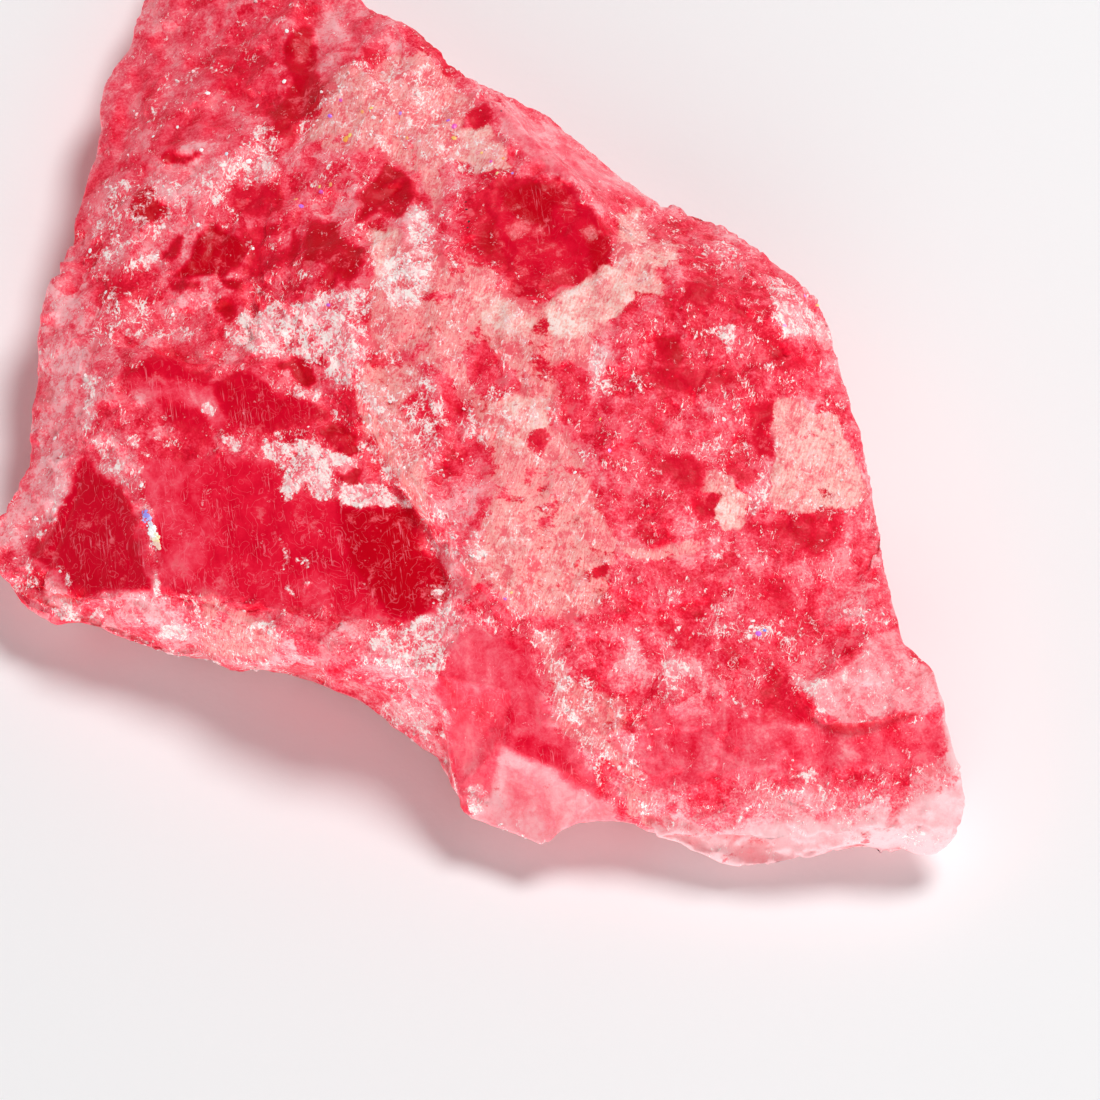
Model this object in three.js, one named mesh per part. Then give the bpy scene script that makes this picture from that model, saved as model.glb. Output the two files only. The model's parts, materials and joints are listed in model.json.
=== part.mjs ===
// Rough rhodonite: one hand-sized chip of gem-grade crystal, broken out of the vein and never polished.
// Millimetres, +Z up. The stone lies on its flattest break, with the origin under the middle of its box.
//
// Rhodonite splits along two planes that meet nearly at right angles, so the piece is a set of flat
// cleavage faces with hackly breaks between them. The corners of those faces are named below, each face
// lists its corners, and the finish of a face says how far it departs from flat.
import * as THREE from "three";
import { ImprovedNoise } from "three/addons/math/ImprovedNoise.js";
import { mergeVertices } from "three/addons/utils/BufferGeometryUtils.js";

// Longest edge left once the faces are divided, mm: on top, low on the sides, and on the resting break.
const UPPER_SPACING = 0.9;
const LOWER_SPACING = 1.8;
const REST_SPACING = 4;
const LOWER_HEIGHT = 1.0; // where the upper spacing gives way to the lower, mm

// The resting break is the rim drawn in, with its corners evened out.
const REST_SHARE = 0.7; // how far out it reaches, as a share of the rim
const REST_WOBBLE = 0.22; // how much that share wanders, so that it is no copy of the rim
const REST_WOBBLE_SIZE = 8;
const REST_NICK = 0.1; // and how much it is nicked
const REST_NICK_SIZE = 2.3;
const REST_EASING = 8;

// The belly runs round the stone between rim and resting break.
const BELLY_SHARE = 0.94;
const BELLY_HEIGHT = 0.4; // as a share of the rim's height
const BELLY_TOP = 1.8; // its greatest height, mm
const BELLY_WOBBLE = 0.5;
const BELLY_WOBBLE_SIZE = 4;
const BELLY_EASING = 1;

// Finishes: lumps are soft swells and hackles are small tilted chips, both in mm of height.
const CLEAVED = { lump: 0.06, hackle: 0.03 };
const GRAINY = { lump: 0.32, hackle: 0.16 };
const BROKEN = { lump: 0.42, hackle: 0.36 };
const LUMP_SIZE = 5.5;
const HACKLE_SIZE = 3.0;
const FINE_HACKLE_SIZE = 1.6;
const FINE_HACKLE_SHARE = 0.45;
const HACKLE_SLOPE = 1.4;
const GRAIN_TURN = 1.35; // chips lie along the vein, this far round from +X, radians
const GRAIN_STRETCH = 1.5; // and are this many times longer than wide
const REST_BLEND = 0.7; // relief fades out below this height, mm

// The rim, clockwise from the blunt far point, in four runs of [x, y, z].
const rim = {
  ne: [
    [-8.7, 17.6, 3.0], [-5.4, 14.6, 4.4], [-3.6, 12.5, 5.2], [-2.2, 11.0, 5.8], [-1.0, 9.9, 6.1],
    [0.1, 8.8, 6.2], [1.4, 8.7, 5.2], [2.7, 8.2, 4.8], [4.0, 7.1, 4.6], [5.4, 5.8, 4.8],
    [6.6, 4.8, 5.0], [8.4, 3.7, 5.6], [9.7, 2.3, 6.2],
  ],
  e: [
    [10.9, 0.7, 6.6], [11.9, -0.7, 6.6], [12.2, -2.4, 6.4], [12.7, -4.5, 5.9], [13.5, -7.4, 5.3],
    [14.1, -11.1, 4.7], [15.0, -12.1, 4.9], [15.3, -13.2, 4.6], [15.35, -13.6, 4.1], [15.8, -15.1, 3.6],
    [16.1, -15.9, 2.9], [15.9, -16.5, 2.2], [15.2, -16.9, 1.5],
  ],
  s: [
    [13.0, -16.9, 1.3], [10.8, -17.1, 1.2], [9.1, -17.5, 1.0], [7.8, -16.9, 1.2], [6.2, -16.4, 1.8],
    [4.9, -16.3, 2.2], [3.8, -16.3, 2.2], [3.3, -16.6, 2.2], [2.8, -16.9, 1.8], [1.5, -16.3, 1.8],
    [0.3, -15.8, 2.0], [-0.1, -15.3, 2.5], [-0.3, -13.8, 1.6], [-1.7, -12.9, 1.6], [-3.3, -11.8, 1.6],
    [-4.9, -11.0, 1.7], [-6.9, -10.6, 1.8], [-8.3, -10.4, 1.9], [-9.9, -10.0, 1.9], [-11.5, -9.4, 2.0],
    [-13.2, -8.7, 2.1], [-14.6, -7.9, 2.2],
  ],
  w: [
    [-16.0, -6.8, 2.4], [-14.8, -5.2, 2.6], [-14.0, -3.7, 2.8], [-13.7, -1.4, 3.0], [-13.5, 1.3, 3.2],
    [-13.4, 3.0, 3.4], [-12.6, 5.0, 3.4], [-12.1, 7.4, 3.4], [-12.0, 9.8, 3.2], [-11.2, 12.0, 3.0],
    [-10.6, 14.0, 2.8], [-9.8, 16.3, 2.6],
  ],
};

// Corners inside the rim, named for the feature that they belong to.
const inner = {
  crown: [[-7.5, 12.8, 4.6], [-5.6, 10.0, 5.4], [-8.6, 9.2, 4.8]],
  spine: [
    [-3.6, 9.2, 6.6], [-1.3, 6.3, 7.2], [-1.8, 2.0, 7.4], [-0.6, -2.8, 7.4], [1.6, -6.6, 7.0],
    [2.0, -10.4, 6.1],
  ],
  ridge: [[0.9, 7.5, 6.9], [2.4, 5.0, 7.5], [4.0, 3.6, 7.8], [4.9, 1.6, 7.9]],
  bench: [[1.8, 7.7, 5.9], [3.2, 6.0, 6.1], [4.8, 4.5, 6.4]],
  face: [
    [3.2, -1.5, 7.8], [7.7, -0.2, 8.1], [10.6, -1.2, 7.6], [5.8, -5.6, 7.2], [10.5, -6.0, 6.6],
    [7.6, -10.1, 5.6], [12.4, -9.8, 5.1], [5.7, -13.6, 4.7], [10.5, -14.7, 4.1],
  ],
  chip: [
    [10.6, -12.6, 4.7], [11.8, -12.0, 5.2], [12.9, -11.3, 5.2], [13.6, -13.8, 4.7], [12.4, -14.1, 4.7],
    [11.4, -13.6, 4.7],
  ],
  under: [[11.4, -13.8, 4.2], [12.4, -14.35, 4.1], [13.6, -14.05, 4.1]],
  toe: [
    [-0.7, -12.6, 5.3], [0.2, -11.2, 5.7], [1.7, -13.0, 5.0], [1.4, -14.6, 4.2], [3.1, -15.2, 3.7],
    [4.3, -15.9, 3.1],
  ],
  lip: [[6.2, -16.2, 3.0], [7.6, -16.8, 2.6], [9.2, -17.1, 2.4], [11.4, -16.9, 2.7], [13.9, -16.6, 2.8]],
  sill: [
    [-13.4, -8.3, 2.9], [-11.4, -9.3, 3.9], [-9.6, -9.3, 4.6], [-7.1, -9.8, 4.85], [-4.1, -10.6, 5.05],
    [-0.7, -11.7, 5.25],
  ],
  gem: [[-13.6, -7.3, 3.2], [-12.2, -5.2, 3.9], [-11.6, -4.0, 4.5]],
  crease: [[-11.1, -2.2, 5.3], [-10.2, -5.4, 5.1]],
  window: [
    [-9.7, -1.3, 5.8], [-6.3, -1.8, 6.1], [-3.6, -4.4, 6.05], [-1.6, -6.7, 5.9], [-0.8, -8.2, 5.75],
    [-0.3, -9.6, 5.6], [-0.4, -10.8, 5.4],
  ],
  brow: [[-2.8, -4.3, 7.0], [-1.1, -6.9, 6.9], [-0.2, -8.5, 6.8], [0.5, -9.8, 6.4]],
  knob: [
    [-10.2, 7.1, 4.6], [-6.9, 5.8, 5.7], [-4.1, 5.8, 6.7], [-10.7, 2.7, 4.9], [-7.3, 1.8, 5.8],
    [-3.8, 0.1, 6.9], [-12.0, -0.3, 4.3], [-12.1, -3.2, 4.2],
  ],
};

// The faces of the upper side: a region, its finish, then the corners of each of its faces. A run such as
// s4..s9 stands for each corner from the first to the last.
const faces = [
  ["far crown", BROKEN, "ne0 ne1 crown0 w10 w11", "ne1 ne2 spine0 crown1 crown0"],
  ["far crown, west", BROKEN, "crown0 crown2 w8..w10"],
  ["crown foot", BROKEN, "crown0..crown2", "crown2 crown1 knob1", "crown1 spine0 knob2 knob1"],
  ["spine", BROKEN, "ne2 ne3 spine0", "spine0 ne3..ne5 ridge0 spine1", "spine0 spine1 knob2"],
  ["spine flank", BROKEN, "spine1 spine2 knob5 knob2", "spine2 spine3 brow0 knob5", "ne5 ne6 ridge0"],
  ["summit", GRAINY, "spine1 ridge0..ridge3 face0 spine2", "ridge3 face1 face0", "spine2 face0 spine3"],
  ["summit step", BROKEN, "ridge0..ridge3 bench2..bench0 ne6"],
  ["bench", CLEAVED, "bench0 ne6..ne10 bench2 bench1", "bench2 ne10..ne12 face1 ridge3"],
  ["shoulder", GRAINY, "face1 ne12 e0 face2", "face2 e0..e2", "face2 e2 e3 face4", "face4 e3 e4 face6"],
  ["broad face", GRAINY, "face0 face1 face3", "face1 face2 face4 face3", "face3 face4 face6 face5"],
  ["west of it", GRAINY, "spine3 spine4 face3 face0", "spine4 face3 face5 spine5", "spine5 face5 face7"],
  ["its foot", GRAINY, "face6 e4 e5 chip2", "face5 face6 chip2..chip0", "face5 chip0 face8 face7"],
  ["chip scar", CLEAVED, "chip0..chip2 e5..e7 chip3..chip5"],
  ["chip step", CLEAVED, "chip0 chip5..chip3 e7 e8 under2..under0", "chip0 under0 face8"],
  ["below the chip", CLEAVED, "face8 under0..under2 lip4 lip3", "under2 e8..e10 lip4"],
  ["near slope", CLEAVED, "face7 face8 lip3..lip0", "face7 lip0 toe5", "toe5 lip0 s4..s6"],
  ["near edge", BROKEN, "e10..e12 s0..s4 lip0..lip4"],
  ["toe, top", CLEAVED, "toe2 spine5 face7 toe5..toe3", "toe0..toe2", "toe1 toe2 spine5"],
  ["toe, front", CLEAVED, "toe3..toe5 s6..s10", "toe0 toe2 toe3 s10 s11", "toe0 s11 s12"],
  ["brow", BROKEN, "brow0 brow1 spine4 spine3", "brow1..brow3 spine5 spine4", "brow3 toe1 spine5"],
  ["step wall, upper", BROKEN, "knob5 brow0 window2", "window2 window3 brow1 brow0"],
  ["step wall, middle", BROKEN, "window3 window4 brow2 brow1", "window4 window5 brow3 brow2"],
  ["step wall, lower", BROKEN, "window5 window6 toe1 brow3", "window6 sill5 toe0 toe1"],
  ["window", CLEAVED, "crease0 window0..window6 sill5..sill2 crease1"],
  ["small window", CLEAVED, "sill2 crease1 gem2..gem0 sill0 sill1"],
  ["crease", GRAINY, "crease0 crease1 gem2", "gem2 knob7 crease0", "crease0 window0 knob6 knob7"],
  ["west point", GRAINY, "w0 sill0 gem0", "w0 gem0 gem1 w2 w1", "gem1 gem2 knob7 w3 w2", "knob7 knob6 w4 w3"],
  ["above the window", BROKEN, "knob6 window0 window1 knob4 knob3", "window1 knob4 knob5 window2"],
  ["west slope", BROKEN, "knob6 knob3 w5 w4", "knob3 w6 w5", "knob3 knob0 w7 w6", "knob0 crown2 w8 w7"],
  ["knob", BROKEN, "knob3 knob4 knob1 knob0", "knob0 knob1 crown2", "knob1 knob2 knob5 knob4"],
  ["front wall", BROKEN, "w0 sill0..sill5 toe0 s12..s21"],
];

// ---- small helpers --------------------------------------------------------------------------------------

// "toe0 s3..s5" becomes ["toe0", "s3", "s4", "s5"]; a run may also count down.
function expand(words) {
  return words.split(" ").flatMap((word) => {
    const run = word.match(/^([a-z]+)(\d+)\.\.[a-z]+(\d+)$/);
    if (!run) return [word];
    const first = Number(run[2]);
    const last = Number(run[3]);
    const step = Math.sign(last - first);
    return Array.from({ length: Math.abs(last - first) + 1 }, (_, i) => run[1] + (first + i * step));
  });
}

// Soft noise from about -1 to 1, with one swell about every `size` mm.
const improvedNoise = new ImprovedNoise();
function swell(p, size, shift) {
  return improvedNoise.noise(p.x / size + shift, p.y / size + shift, p.z / size + shift);
}

// A repeatable random number from 0 to 1 for each whole-numbered cell of space.
function cellRandom(i, j, k, seed) {
  let hash = Math.imul(i, 374761393) ^ Math.imul(j, 668265263) ^ Math.imul(k, 974634777);
  hash = Math.imul(hash ^ Math.imul(seed, 2246822519) ^ (hash >>> 13), 1274126177);
  return ((hash ^ (hash >>> 16)) >>> 0) / 2 ** 32;
}

// Tilted chips: space falls into cells about `size` mm wide, and each cell is a flat face of its own slope.
const alongGrain = new THREE.Vector3(Math.cos(GRAIN_TURN), Math.sin(GRAIN_TURN), 0);
const acrossGrain = new THREE.Vector3(-Math.sin(GRAIN_TURN), Math.cos(GRAIN_TURN), 0);
function hackle(p, size, seed) {
  const q = new THREE.Vector3(p.dot(alongGrain) / GRAIN_STRETCH, p.dot(acrossGrain), p.z).divideScalar(size);
  const base = q.clone().floor().toArray();
  let nearest = Infinity;
  let height = 0;
  for (let n = 0; n < 27; n++) {
    const cell = [n % 3, Math.floor(n / 3) % 3, Math.floor(n / 9)].map((step, axis) => base[axis] + step - 1);
    const random = (use) => cellRandom(...cell, seed + use);
    const away = new THREE.Vector3(...cell.map((low, axis) => low + random(axis))).sub(q).negate();
    if (away.lengthSq() > nearest) continue;
    nearest = away.lengthSq();
    const slope = new THREE.Vector3(random(3), random(4), random(5)).multiplyScalar(2).subScalar(1);
    height = away.dot(slope) * HACKLE_SLOPE + random(6) - 0.5;
  }
  return height;
}

// ---- the cage: flat faces between the named corners -----------------------------------------------------

const corners = new Map();
for (const [run, points] of Object.entries({ ...rim, ...inner })) {
  points.forEach((point, i) => corners.set(run + i, new THREE.Vector3(...point)));
}

// Evens a closed loop out: each point moves to the mean of itself and its two neighbours.
function ease(loop, times) {
  if (times === 0) return loop;
  const mean = (p, i) => p.clone().add(loop.at(i - 1)).add(loop[(i + 1) % loop.length]).divideScalar(3);
  return ease(loop.map(mean), times - 1);
}

// Each rim corner has one corner of the belly and one of the resting break below it.
const rimNames = Object.entries(rim).flatMap(([run, points]) => points.map((_, i) => run + i));
const rimLoop = rimNames.map((name) => corners.get(name));
ease(rimLoop, BELLY_EASING).forEach((p, i) => {
  const wobble = 1 + BELLY_WOBBLE * swell(p, BELLY_WOBBLE_SIZE, 0.4);
  const height = Math.min(BELLY_TOP, BELLY_HEIGHT * p.z) * wobble;
  corners.set("belly " + rimNames[i], p.clone().multiplyScalar(BELLY_SHARE).setZ(height));
});
ease(rimLoop, REST_EASING).forEach((p, i) => {
  const wobble = REST_WOBBLE * swell(p, REST_WOBBLE_SIZE, 0.3) + REST_NICK * swell(p, REST_NICK_SIZE, 0.7);
  corners.set("rest " + rimNames[i], p.clone().multiplyScalar(REST_SHARE + wobble).setZ(0));
});

const triangles = []; // each {points: three Vector3, finish}
const HEART = new THREE.Vector3(1, -2, 3.2); // a point well inside, so that outwards is away from it

function addFace(names, finish) {
  const points = names.map((name) => corners.get(name));
  const middle = new THREE.Vector3();
  const normal = new THREE.Vector3(); // by Newell's sum over the edges
  points.forEach((p, i) => {
    middle.addScaledVector(p, 1 / points.length);
    normal.add(p.clone().cross(points[(i + 1) % points.length]));
  });
  if (normal.dot(middle.sub(HEART)) < 0) normal.negate();
  normal.normalize();
  // The face is cut into triangles as seen along its normal.
  const turned = new THREE.Quaternion().setFromUnitVectors(normal, new THREE.Vector3(0, 0, 1));
  const flat = points.map((p) => new THREE.Vector2().copy(p.clone().applyQuaternion(turned)));
  for (const [a, b, c] of THREE.ShapeUtils.triangulateShape(flat, [])) {
    const inOrder = THREE.ShapeUtils.area([flat[a], flat[b], flat[c]]) > 0;
    triangles.push({ points: (inOrder ? [a, b, c] : [a, c, b]).map((i) => points[i]), finish });
  }
}

for (const [, finish, ...outlines] of faces) {
  outlines.forEach((outline) => addFace(expand(outline), finish));
}
rimNames.forEach((name, i) => {
  const next = rimNames[(i + 1) % rimNames.length];
  addFace([name, next, "belly " + next, "belly " + name], GRAINY);
  addFace(["belly " + name, "belly " + next, "rest " + next, "rest " + name], GRAINY);
});
addFace(rimNames.map((name) => "rest " + name), CLEAVED);

// ---- fine mesh: divide until no edge is long, then raise the relief -------------------------------------

function spacing(p, q) {
  const height = (p.z + q.z) / 2;
  if (height === 0) return REST_SPACING;
  return height > LOWER_HEIGHT ? UPPER_SPACING : LOWER_SPACING;
}

// Halves each edge over `times` its spacing. Neighbours agree, because only the edge itself decides.
function divide(all, times) {
  const divided = [];
  for (const { points, finish } of all) {
    const add = (a, b, c) => divided.push({ points: [a, b, c], finish });
    const ahead = [points[1], points[2], points[0]];
    const isLong = (i) => points[i].distanceTo(ahead[i]) > times * spacing(points[i], ahead[i]);
    const cuts = [0, 1, 2].filter(isLong);
    // The triangle is turned so that its edges to cut come first, from a to b, then from b to c.
    const turn = cuts.length === 2 && cuts[0] === 0 && cuts[1] === 2 ? 2 : cuts[0] ?? 0;
    const [a, b, c] = [0, 1, 2].map((i) => points[(i + turn) % 3]);
    const [ab, bc, ca] = [[a, b], [b, c], [c, a]].map(([p, q]) => p.clone().add(q).multiplyScalar(0.5));
    if (cuts.length === 0) {
      add(a, b, c);
    } else if (cuts.length === 1) {
      add(a, ab, c);
      add(ab, b, c);
    } else if (cuts.length === 3) {
      add(a, ab, ca);
      add(ab, b, bc);
      add(ca, bc, c);
      add(ab, bc, ca);
    } else {
      add(ab, b, bc);
      if (a.distanceTo(bc) < c.distanceTo(ab)) {
        add(a, ab, bc);
        add(a, bc, c);
      } else {
        add(a, ab, c);
        add(ab, bc, c);
      }
    }
  }
  return divided;
}

// The longest edges go first, which keeps the triangles well shaped.
const LONGEST_FIRST = 16;
const SHORTER_EACH_TIME = 0.84;
let fine = triangles;
for (let times = LONGEST_FIRST; times > 1; times *= SHORTER_EACH_TIME) {
  fine = divide(fine, times);
}
for (let before = 0; before < fine.length; ) {
  before = fine.length;
  fine = divide(fine, 1);
}

const soup = new THREE.BufferGeometry().setFromPoints(fine.flatMap((triangle) => triangle.points));
const stone = mergeVertices(soup, 1e-4);
stone.computeVertexNormals();

// A corner that several faces share takes the mean of their finishes.
const finishes = Array.from({ length: stone.attributes.position.count }, () => []);
stone.index.array.forEach((corner, i) => finishes[corner].push(fine[Math.floor(i / 3)].finish));

const p = new THREE.Vector3();
const outwards = new THREE.Vector3();
finishes.forEach((around, i) => {
  const mean = (key) => around.reduce((sum, finish) => sum + finish[key], 0) / around.length;
  p.fromBufferAttribute(stone.attributes.position, i);
  outwards.fromBufferAttribute(stone.attributes.normal, i);
  const chips = hackle(p, HACKLE_SIZE, 11) + FINE_HACKLE_SHARE * hackle(p, FINE_HACKLE_SIZE, 47);
  const relief = mean("lump") * swell(p, LUMP_SIZE, 0.6) + mean("hackle") * chips;
  p.addScaledVector(outwards, relief * THREE.MathUtils.smoothstep(p.z, 0, REST_BLEND));
  stone.attributes.position.setXYZ(i, p.x, p.y, Math.max(p.z, 0));
});

// The origin goes under the middle of the box.
stone.computeBoundingBox();
const middle = stone.boundingBox.getCenter(new THREE.Vector3());
stone.translate(-middle.x, -middle.y, 0);
stone.deleteAttribute("normal");

// Rose-red and translucent, with a glassy lustre on the cleavage faces.
const rhodonite = new THREE.MeshStandardMaterial({ color: 0xe0384f, roughness: 0.35, metalness: 0 });
const mesh = new THREE.Mesh(stone, rhodonite);
mesh.name = "rhodonite_stone";

const group = new THREE.Group();
group.add(mesh);

export default group;
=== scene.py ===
# %% [markdown]
# # A piece of rough rhodonite
#
# Rhodonite is a red manganese silicate. This is a small chip of the clear, gem-grade kind, 35 mm
# long. It was broken out of its vein and never cut or polished. Three things give it its look. The
# clear parts are deep crimson, because light goes in and comes back filtered. Where the crystal is
# full of tiny cracks it turns coral, then pink. And the breaks carry a white, frosty crust that
# catches the light.
#
# The script starts from the solid of the stone, cuts its surface fine, breaks it up as the real one
# is broken, marks which finish lies where, and then builds one material that follows those marks.

# %% Load the solid and keep its box
import json
import math

import bmesh
import bpy
import numpy as np
from mathutils import Matrix, Vector, noise
from mathutils.bvhtree import BVHTree

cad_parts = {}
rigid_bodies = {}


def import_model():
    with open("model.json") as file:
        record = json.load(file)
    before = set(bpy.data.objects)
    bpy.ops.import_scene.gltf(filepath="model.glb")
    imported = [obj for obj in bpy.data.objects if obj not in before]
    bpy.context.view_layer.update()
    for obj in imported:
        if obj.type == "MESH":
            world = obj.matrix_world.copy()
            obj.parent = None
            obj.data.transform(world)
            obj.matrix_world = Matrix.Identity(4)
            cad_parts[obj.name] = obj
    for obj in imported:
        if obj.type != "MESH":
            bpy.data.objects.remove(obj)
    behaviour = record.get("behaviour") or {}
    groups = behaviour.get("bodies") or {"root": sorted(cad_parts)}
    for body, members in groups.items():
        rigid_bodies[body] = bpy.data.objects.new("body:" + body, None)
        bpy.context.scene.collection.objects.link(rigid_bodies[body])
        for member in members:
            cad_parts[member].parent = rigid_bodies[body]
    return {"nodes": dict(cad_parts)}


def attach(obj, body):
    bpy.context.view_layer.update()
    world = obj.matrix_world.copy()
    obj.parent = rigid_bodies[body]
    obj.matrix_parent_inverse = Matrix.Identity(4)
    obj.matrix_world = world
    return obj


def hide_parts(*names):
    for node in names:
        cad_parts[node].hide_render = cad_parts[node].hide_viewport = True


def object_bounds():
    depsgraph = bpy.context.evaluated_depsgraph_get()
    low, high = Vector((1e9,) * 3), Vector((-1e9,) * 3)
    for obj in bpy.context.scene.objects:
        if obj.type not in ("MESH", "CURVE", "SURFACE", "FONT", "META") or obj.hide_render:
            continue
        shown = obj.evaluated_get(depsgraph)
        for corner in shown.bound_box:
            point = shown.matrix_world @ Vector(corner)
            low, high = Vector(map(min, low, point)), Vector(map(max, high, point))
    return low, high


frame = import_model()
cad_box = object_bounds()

MM = 0.001  # the frame is in metres, and every size below is in millimetres

solid = frame["nodes"]["rhodonite_stone"]
low, high = (np.array(corner) / MM for corner in cad_box)
print("box of the solid, mm:", low.round(2), "to", high.round(2))

# %% [markdown]
# ## Camera, floor and light
#
# The stone is seen from the front and well above, 62 degrees over the horizon, through a long lens
# close by, so that it nearly fills the view. It could be lit by a single lamp, but a clear red
# stone needs light from all round to glow. So a white surround lights the walls, bright near the
# horizon and dim overhead, where the clear faces would mirror it. One large lamp high on the right,
# behind the stone, gives the soft shadow in front and the sparkle on the frost, and a weak one in
# front fills the shadow.

# %% Camera
VIEW_ELEVATION = math.radians(62)
VIEW_CENTRE = Vector((2.81, -8.05, 5.0)) * MM
VIEW_DISTANCE = 250 * MM
VIEW_WIDTH = 35.0  # what the view takes in at that distance, mm
SENSOR_WIDTH = 36  # of a full-frame camera, mm
NEAREST = 10  # what lies nearer to the lens isn't drawn, mm

towards_camera = Vector((0, -math.cos(VIEW_ELEVATION), math.sin(VIEW_ELEVATION)))
lens = bpy.data.cameras.new("close_up")
lens.sensor_width = SENSOR_WIDTH
lens.lens = lens.sensor_width * VIEW_DISTANCE / (VIEW_WIDTH * MM)
lens.clip_start = NEAREST * MM
camera = bpy.data.objects.new("close_up", lens)
camera.location = VIEW_CENTRE + towards_camera * VIEW_DISTANCE
camera.rotation_euler = (math.pi / 2 - VIEW_ELEVATION, 0, 0)
bpy.context.scene.collection.objects.link(camera)
bpy.context.scene.camera = camera
print("lens, mm:", round(lens.lens, 1))


# %% Colours and nodes
def linear(hex_colour):
    """An sRGB hex colour as the linear values that Blender works in, with full opacity."""
    shown = [int(hex_colour[i : i + 2], 16) / 255 for i in (1, 3, 5)]
    return [c / 12.92 if c <= 0.04045 else ((c + 0.055) / 1.055) ** 2.4 for c in shown] + [1.0]


def add_node(tree, kind, settings=None, **links):
    """Adds a node to a tree. Settings go on the node, and links on its inputs: a socket is linked,
    and anything else becomes the input's value. Spaces in an input's name are written as _, and in1
    is the second input, where names repeat."""
    node = tree.nodes.new(kind)
    for name, value in (settings or {}).items():
        setattr(node, name, value)
    for name, value in links.items():
        numbered = name.startswith("in") and name[2:].isdigit()
        socket = node.inputs[int(name[2:]) if numbered else name.replace("_", " ")]
        if isinstance(value, bpy.types.NodeSocket):
            tree.links.new(value, socket)
        else:
            socket.default_value = value
    return node


print("middle grey, shown as 0.5, in linear light:", round(linear("#808080")[0], 3))

# %% Floor of white card
FLOOR_COLOUR = "#F3F2F3"
FLOOR_REACH = 1500  # from the stone to the floor's edge, mm
PAPER_ROUGHNESS = 0.9
PAPER_SHINE = 0.2
PAPER_GRAIN = 0.35  # mm between the fibres' bumps, drawn coarser than the real 0.15 to show
PAPER_LAYERS = 2.0  # of finer fibres
PAPER_BUMP = 0.25  # how strongly the fibres' relief shows
PAPER_RELIEF = 0.03  # mm

floor_mesh = bpy.data.meshes.new("floor")
corners = [(-1, -1, 0), (1, -1, 0), (1, 1, 0), (-1, 1, 0)]
floor_mesh.from_pydata([Vector(corner) * FLOOR_REACH * MM for corner in corners],
                       [], [(0, 1, 2, 3)])
floor = bpy.data.objects.new("floor", floor_mesh)
bpy.context.scene.collection.objects.link(floor)

# Matt and faintly fibrous: it holds a soft shadow and mirrors nothing.
paper = bpy.data.materials.new("uncoated_white_card")
paper.use_nodes = True
tree = paper.node_tree
shader = tree.nodes["Principled BSDF"]
shader.inputs["Base Color"].default_value = linear(FLOOR_COLOUR)
shader.inputs["Roughness"].default_value = PAPER_ROUGHNESS
shader.inputs["Specular IOR Level"].default_value = PAPER_SHINE
place = add_node(tree, "ShaderNodeTexCoord")
fibres = add_node(tree, "ShaderNodeTexNoise", Vector=place.outputs["Object"],
                  Scale=1 / (PAPER_GRAIN * MM), Detail=PAPER_LAYERS)
bump = add_node(tree, "ShaderNodeBump", Height=fibres.outputs["Fac"], Strength=PAPER_BUMP,
                Distance=PAPER_RELIEF * MM)
tree.links.new(bump.outputs["Normal"], shader.inputs["Normal"])
floor_mesh.materials.append(paper)
print("floor, mm across:", 2 * FLOOR_REACH)

# %% White surround
SURROUND_LOW = 0.62  # its brightness near the horizon
SURROUND_HIGH = 0.10  # and overhead, where the clear faces mirror it, so that they stay dark
SURROUND_TURN = (0.30, 0.75)  # heights between which one gives way to the other, 1 being overhead

world = bpy.data.worlds.new("white_surround")
world.use_nodes = True
bpy.context.scene.world = world
tree = world.node_tree
direction = add_node(tree, "ShaderNodeTexCoord")
height = add_node(tree, "ShaderNodeSeparateXYZ", Vector=direction.outputs["Generated"])
brightness = add_node(tree, "ShaderNodeMapRange", {"interpolation_type": "SMOOTHSTEP"},
                      Value=height.outputs["Z"], From_Min=SURROUND_TURN[0],
                      From_Max=SURROUND_TURN[1], To_Min=SURROUND_LOW, To_Max=SURROUND_HIGH)
tree.nodes["Background"].inputs["Color"].default_value = (1, 1, 1, 1)
tree.links.new(brightness.outputs["Result"], tree.nodes["Background"].inputs["Strength"])
print("surround, from the horizon to overhead:", SURROUND_LOW, "to", SURROUND_HIGH)

# %% Lamps
# Place, width and power of each lamp, in mm and watts.
LAMPS = {
    "high_lamp": (Vector((150, 115, 380)), 150, 1.26),
    "front_fill": (Vector((20, -320, 180)), 260, 0.42),
}

for name, (lamp_place, width, power) in LAMPS.items():
    lamp_data = bpy.data.lights.new(name, "AREA")
    lamp_data.shape = "DISK"
    lamp_data.size = width * MM
    lamp_data.energy = power
    lamp = bpy.data.objects.new(name, lamp_data)
    lamp.location = lamp_place * MM
    lamp.rotation_euler = lamp_place.to_track_quat("Z", "Y").to_euler()
    bpy.context.scene.collection.objects.link(lamp)
bpy.context.scene.view_settings.view_transform = "Standard"
print("lamps, mm away:", {name: round(lamp[0].length) for name, lamp in LAMPS.items()})

# %% [markdown]
# ## The stone's surface, cut fine
#
# The solid's faces are about a millimetre long, which is right for its form, but the real breaks
# are made of chips a tenth of that. A copy of the solid is merged, and its long edges are halved
# until the faces are small enough. A Subdivision modifier would cut the unseen underside just as
# fine as the top. Working on arrays of points and faces lets the top have small faces and the
# underside large ones.

# %% A merged copy of the solid
MERGE_DISTANCE = 0.001  # mm

stone = bmesh.new()
stone.from_mesh(solid.data)
bmesh.ops.remove_doubles(stone, verts=stone.verts, dist=MERGE_DISTANCE * MM)
bmesh.ops.triangulate(stone, faces=stone.faces)
points = np.array([vertex.co for vertex in stone.verts]) / MM
faces = np.array([[vertex.index for vertex in face.verts] for face in stone.faces])
stone.free()
print("merged copy:", len(points), "points,", len(faces), "faces")

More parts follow.
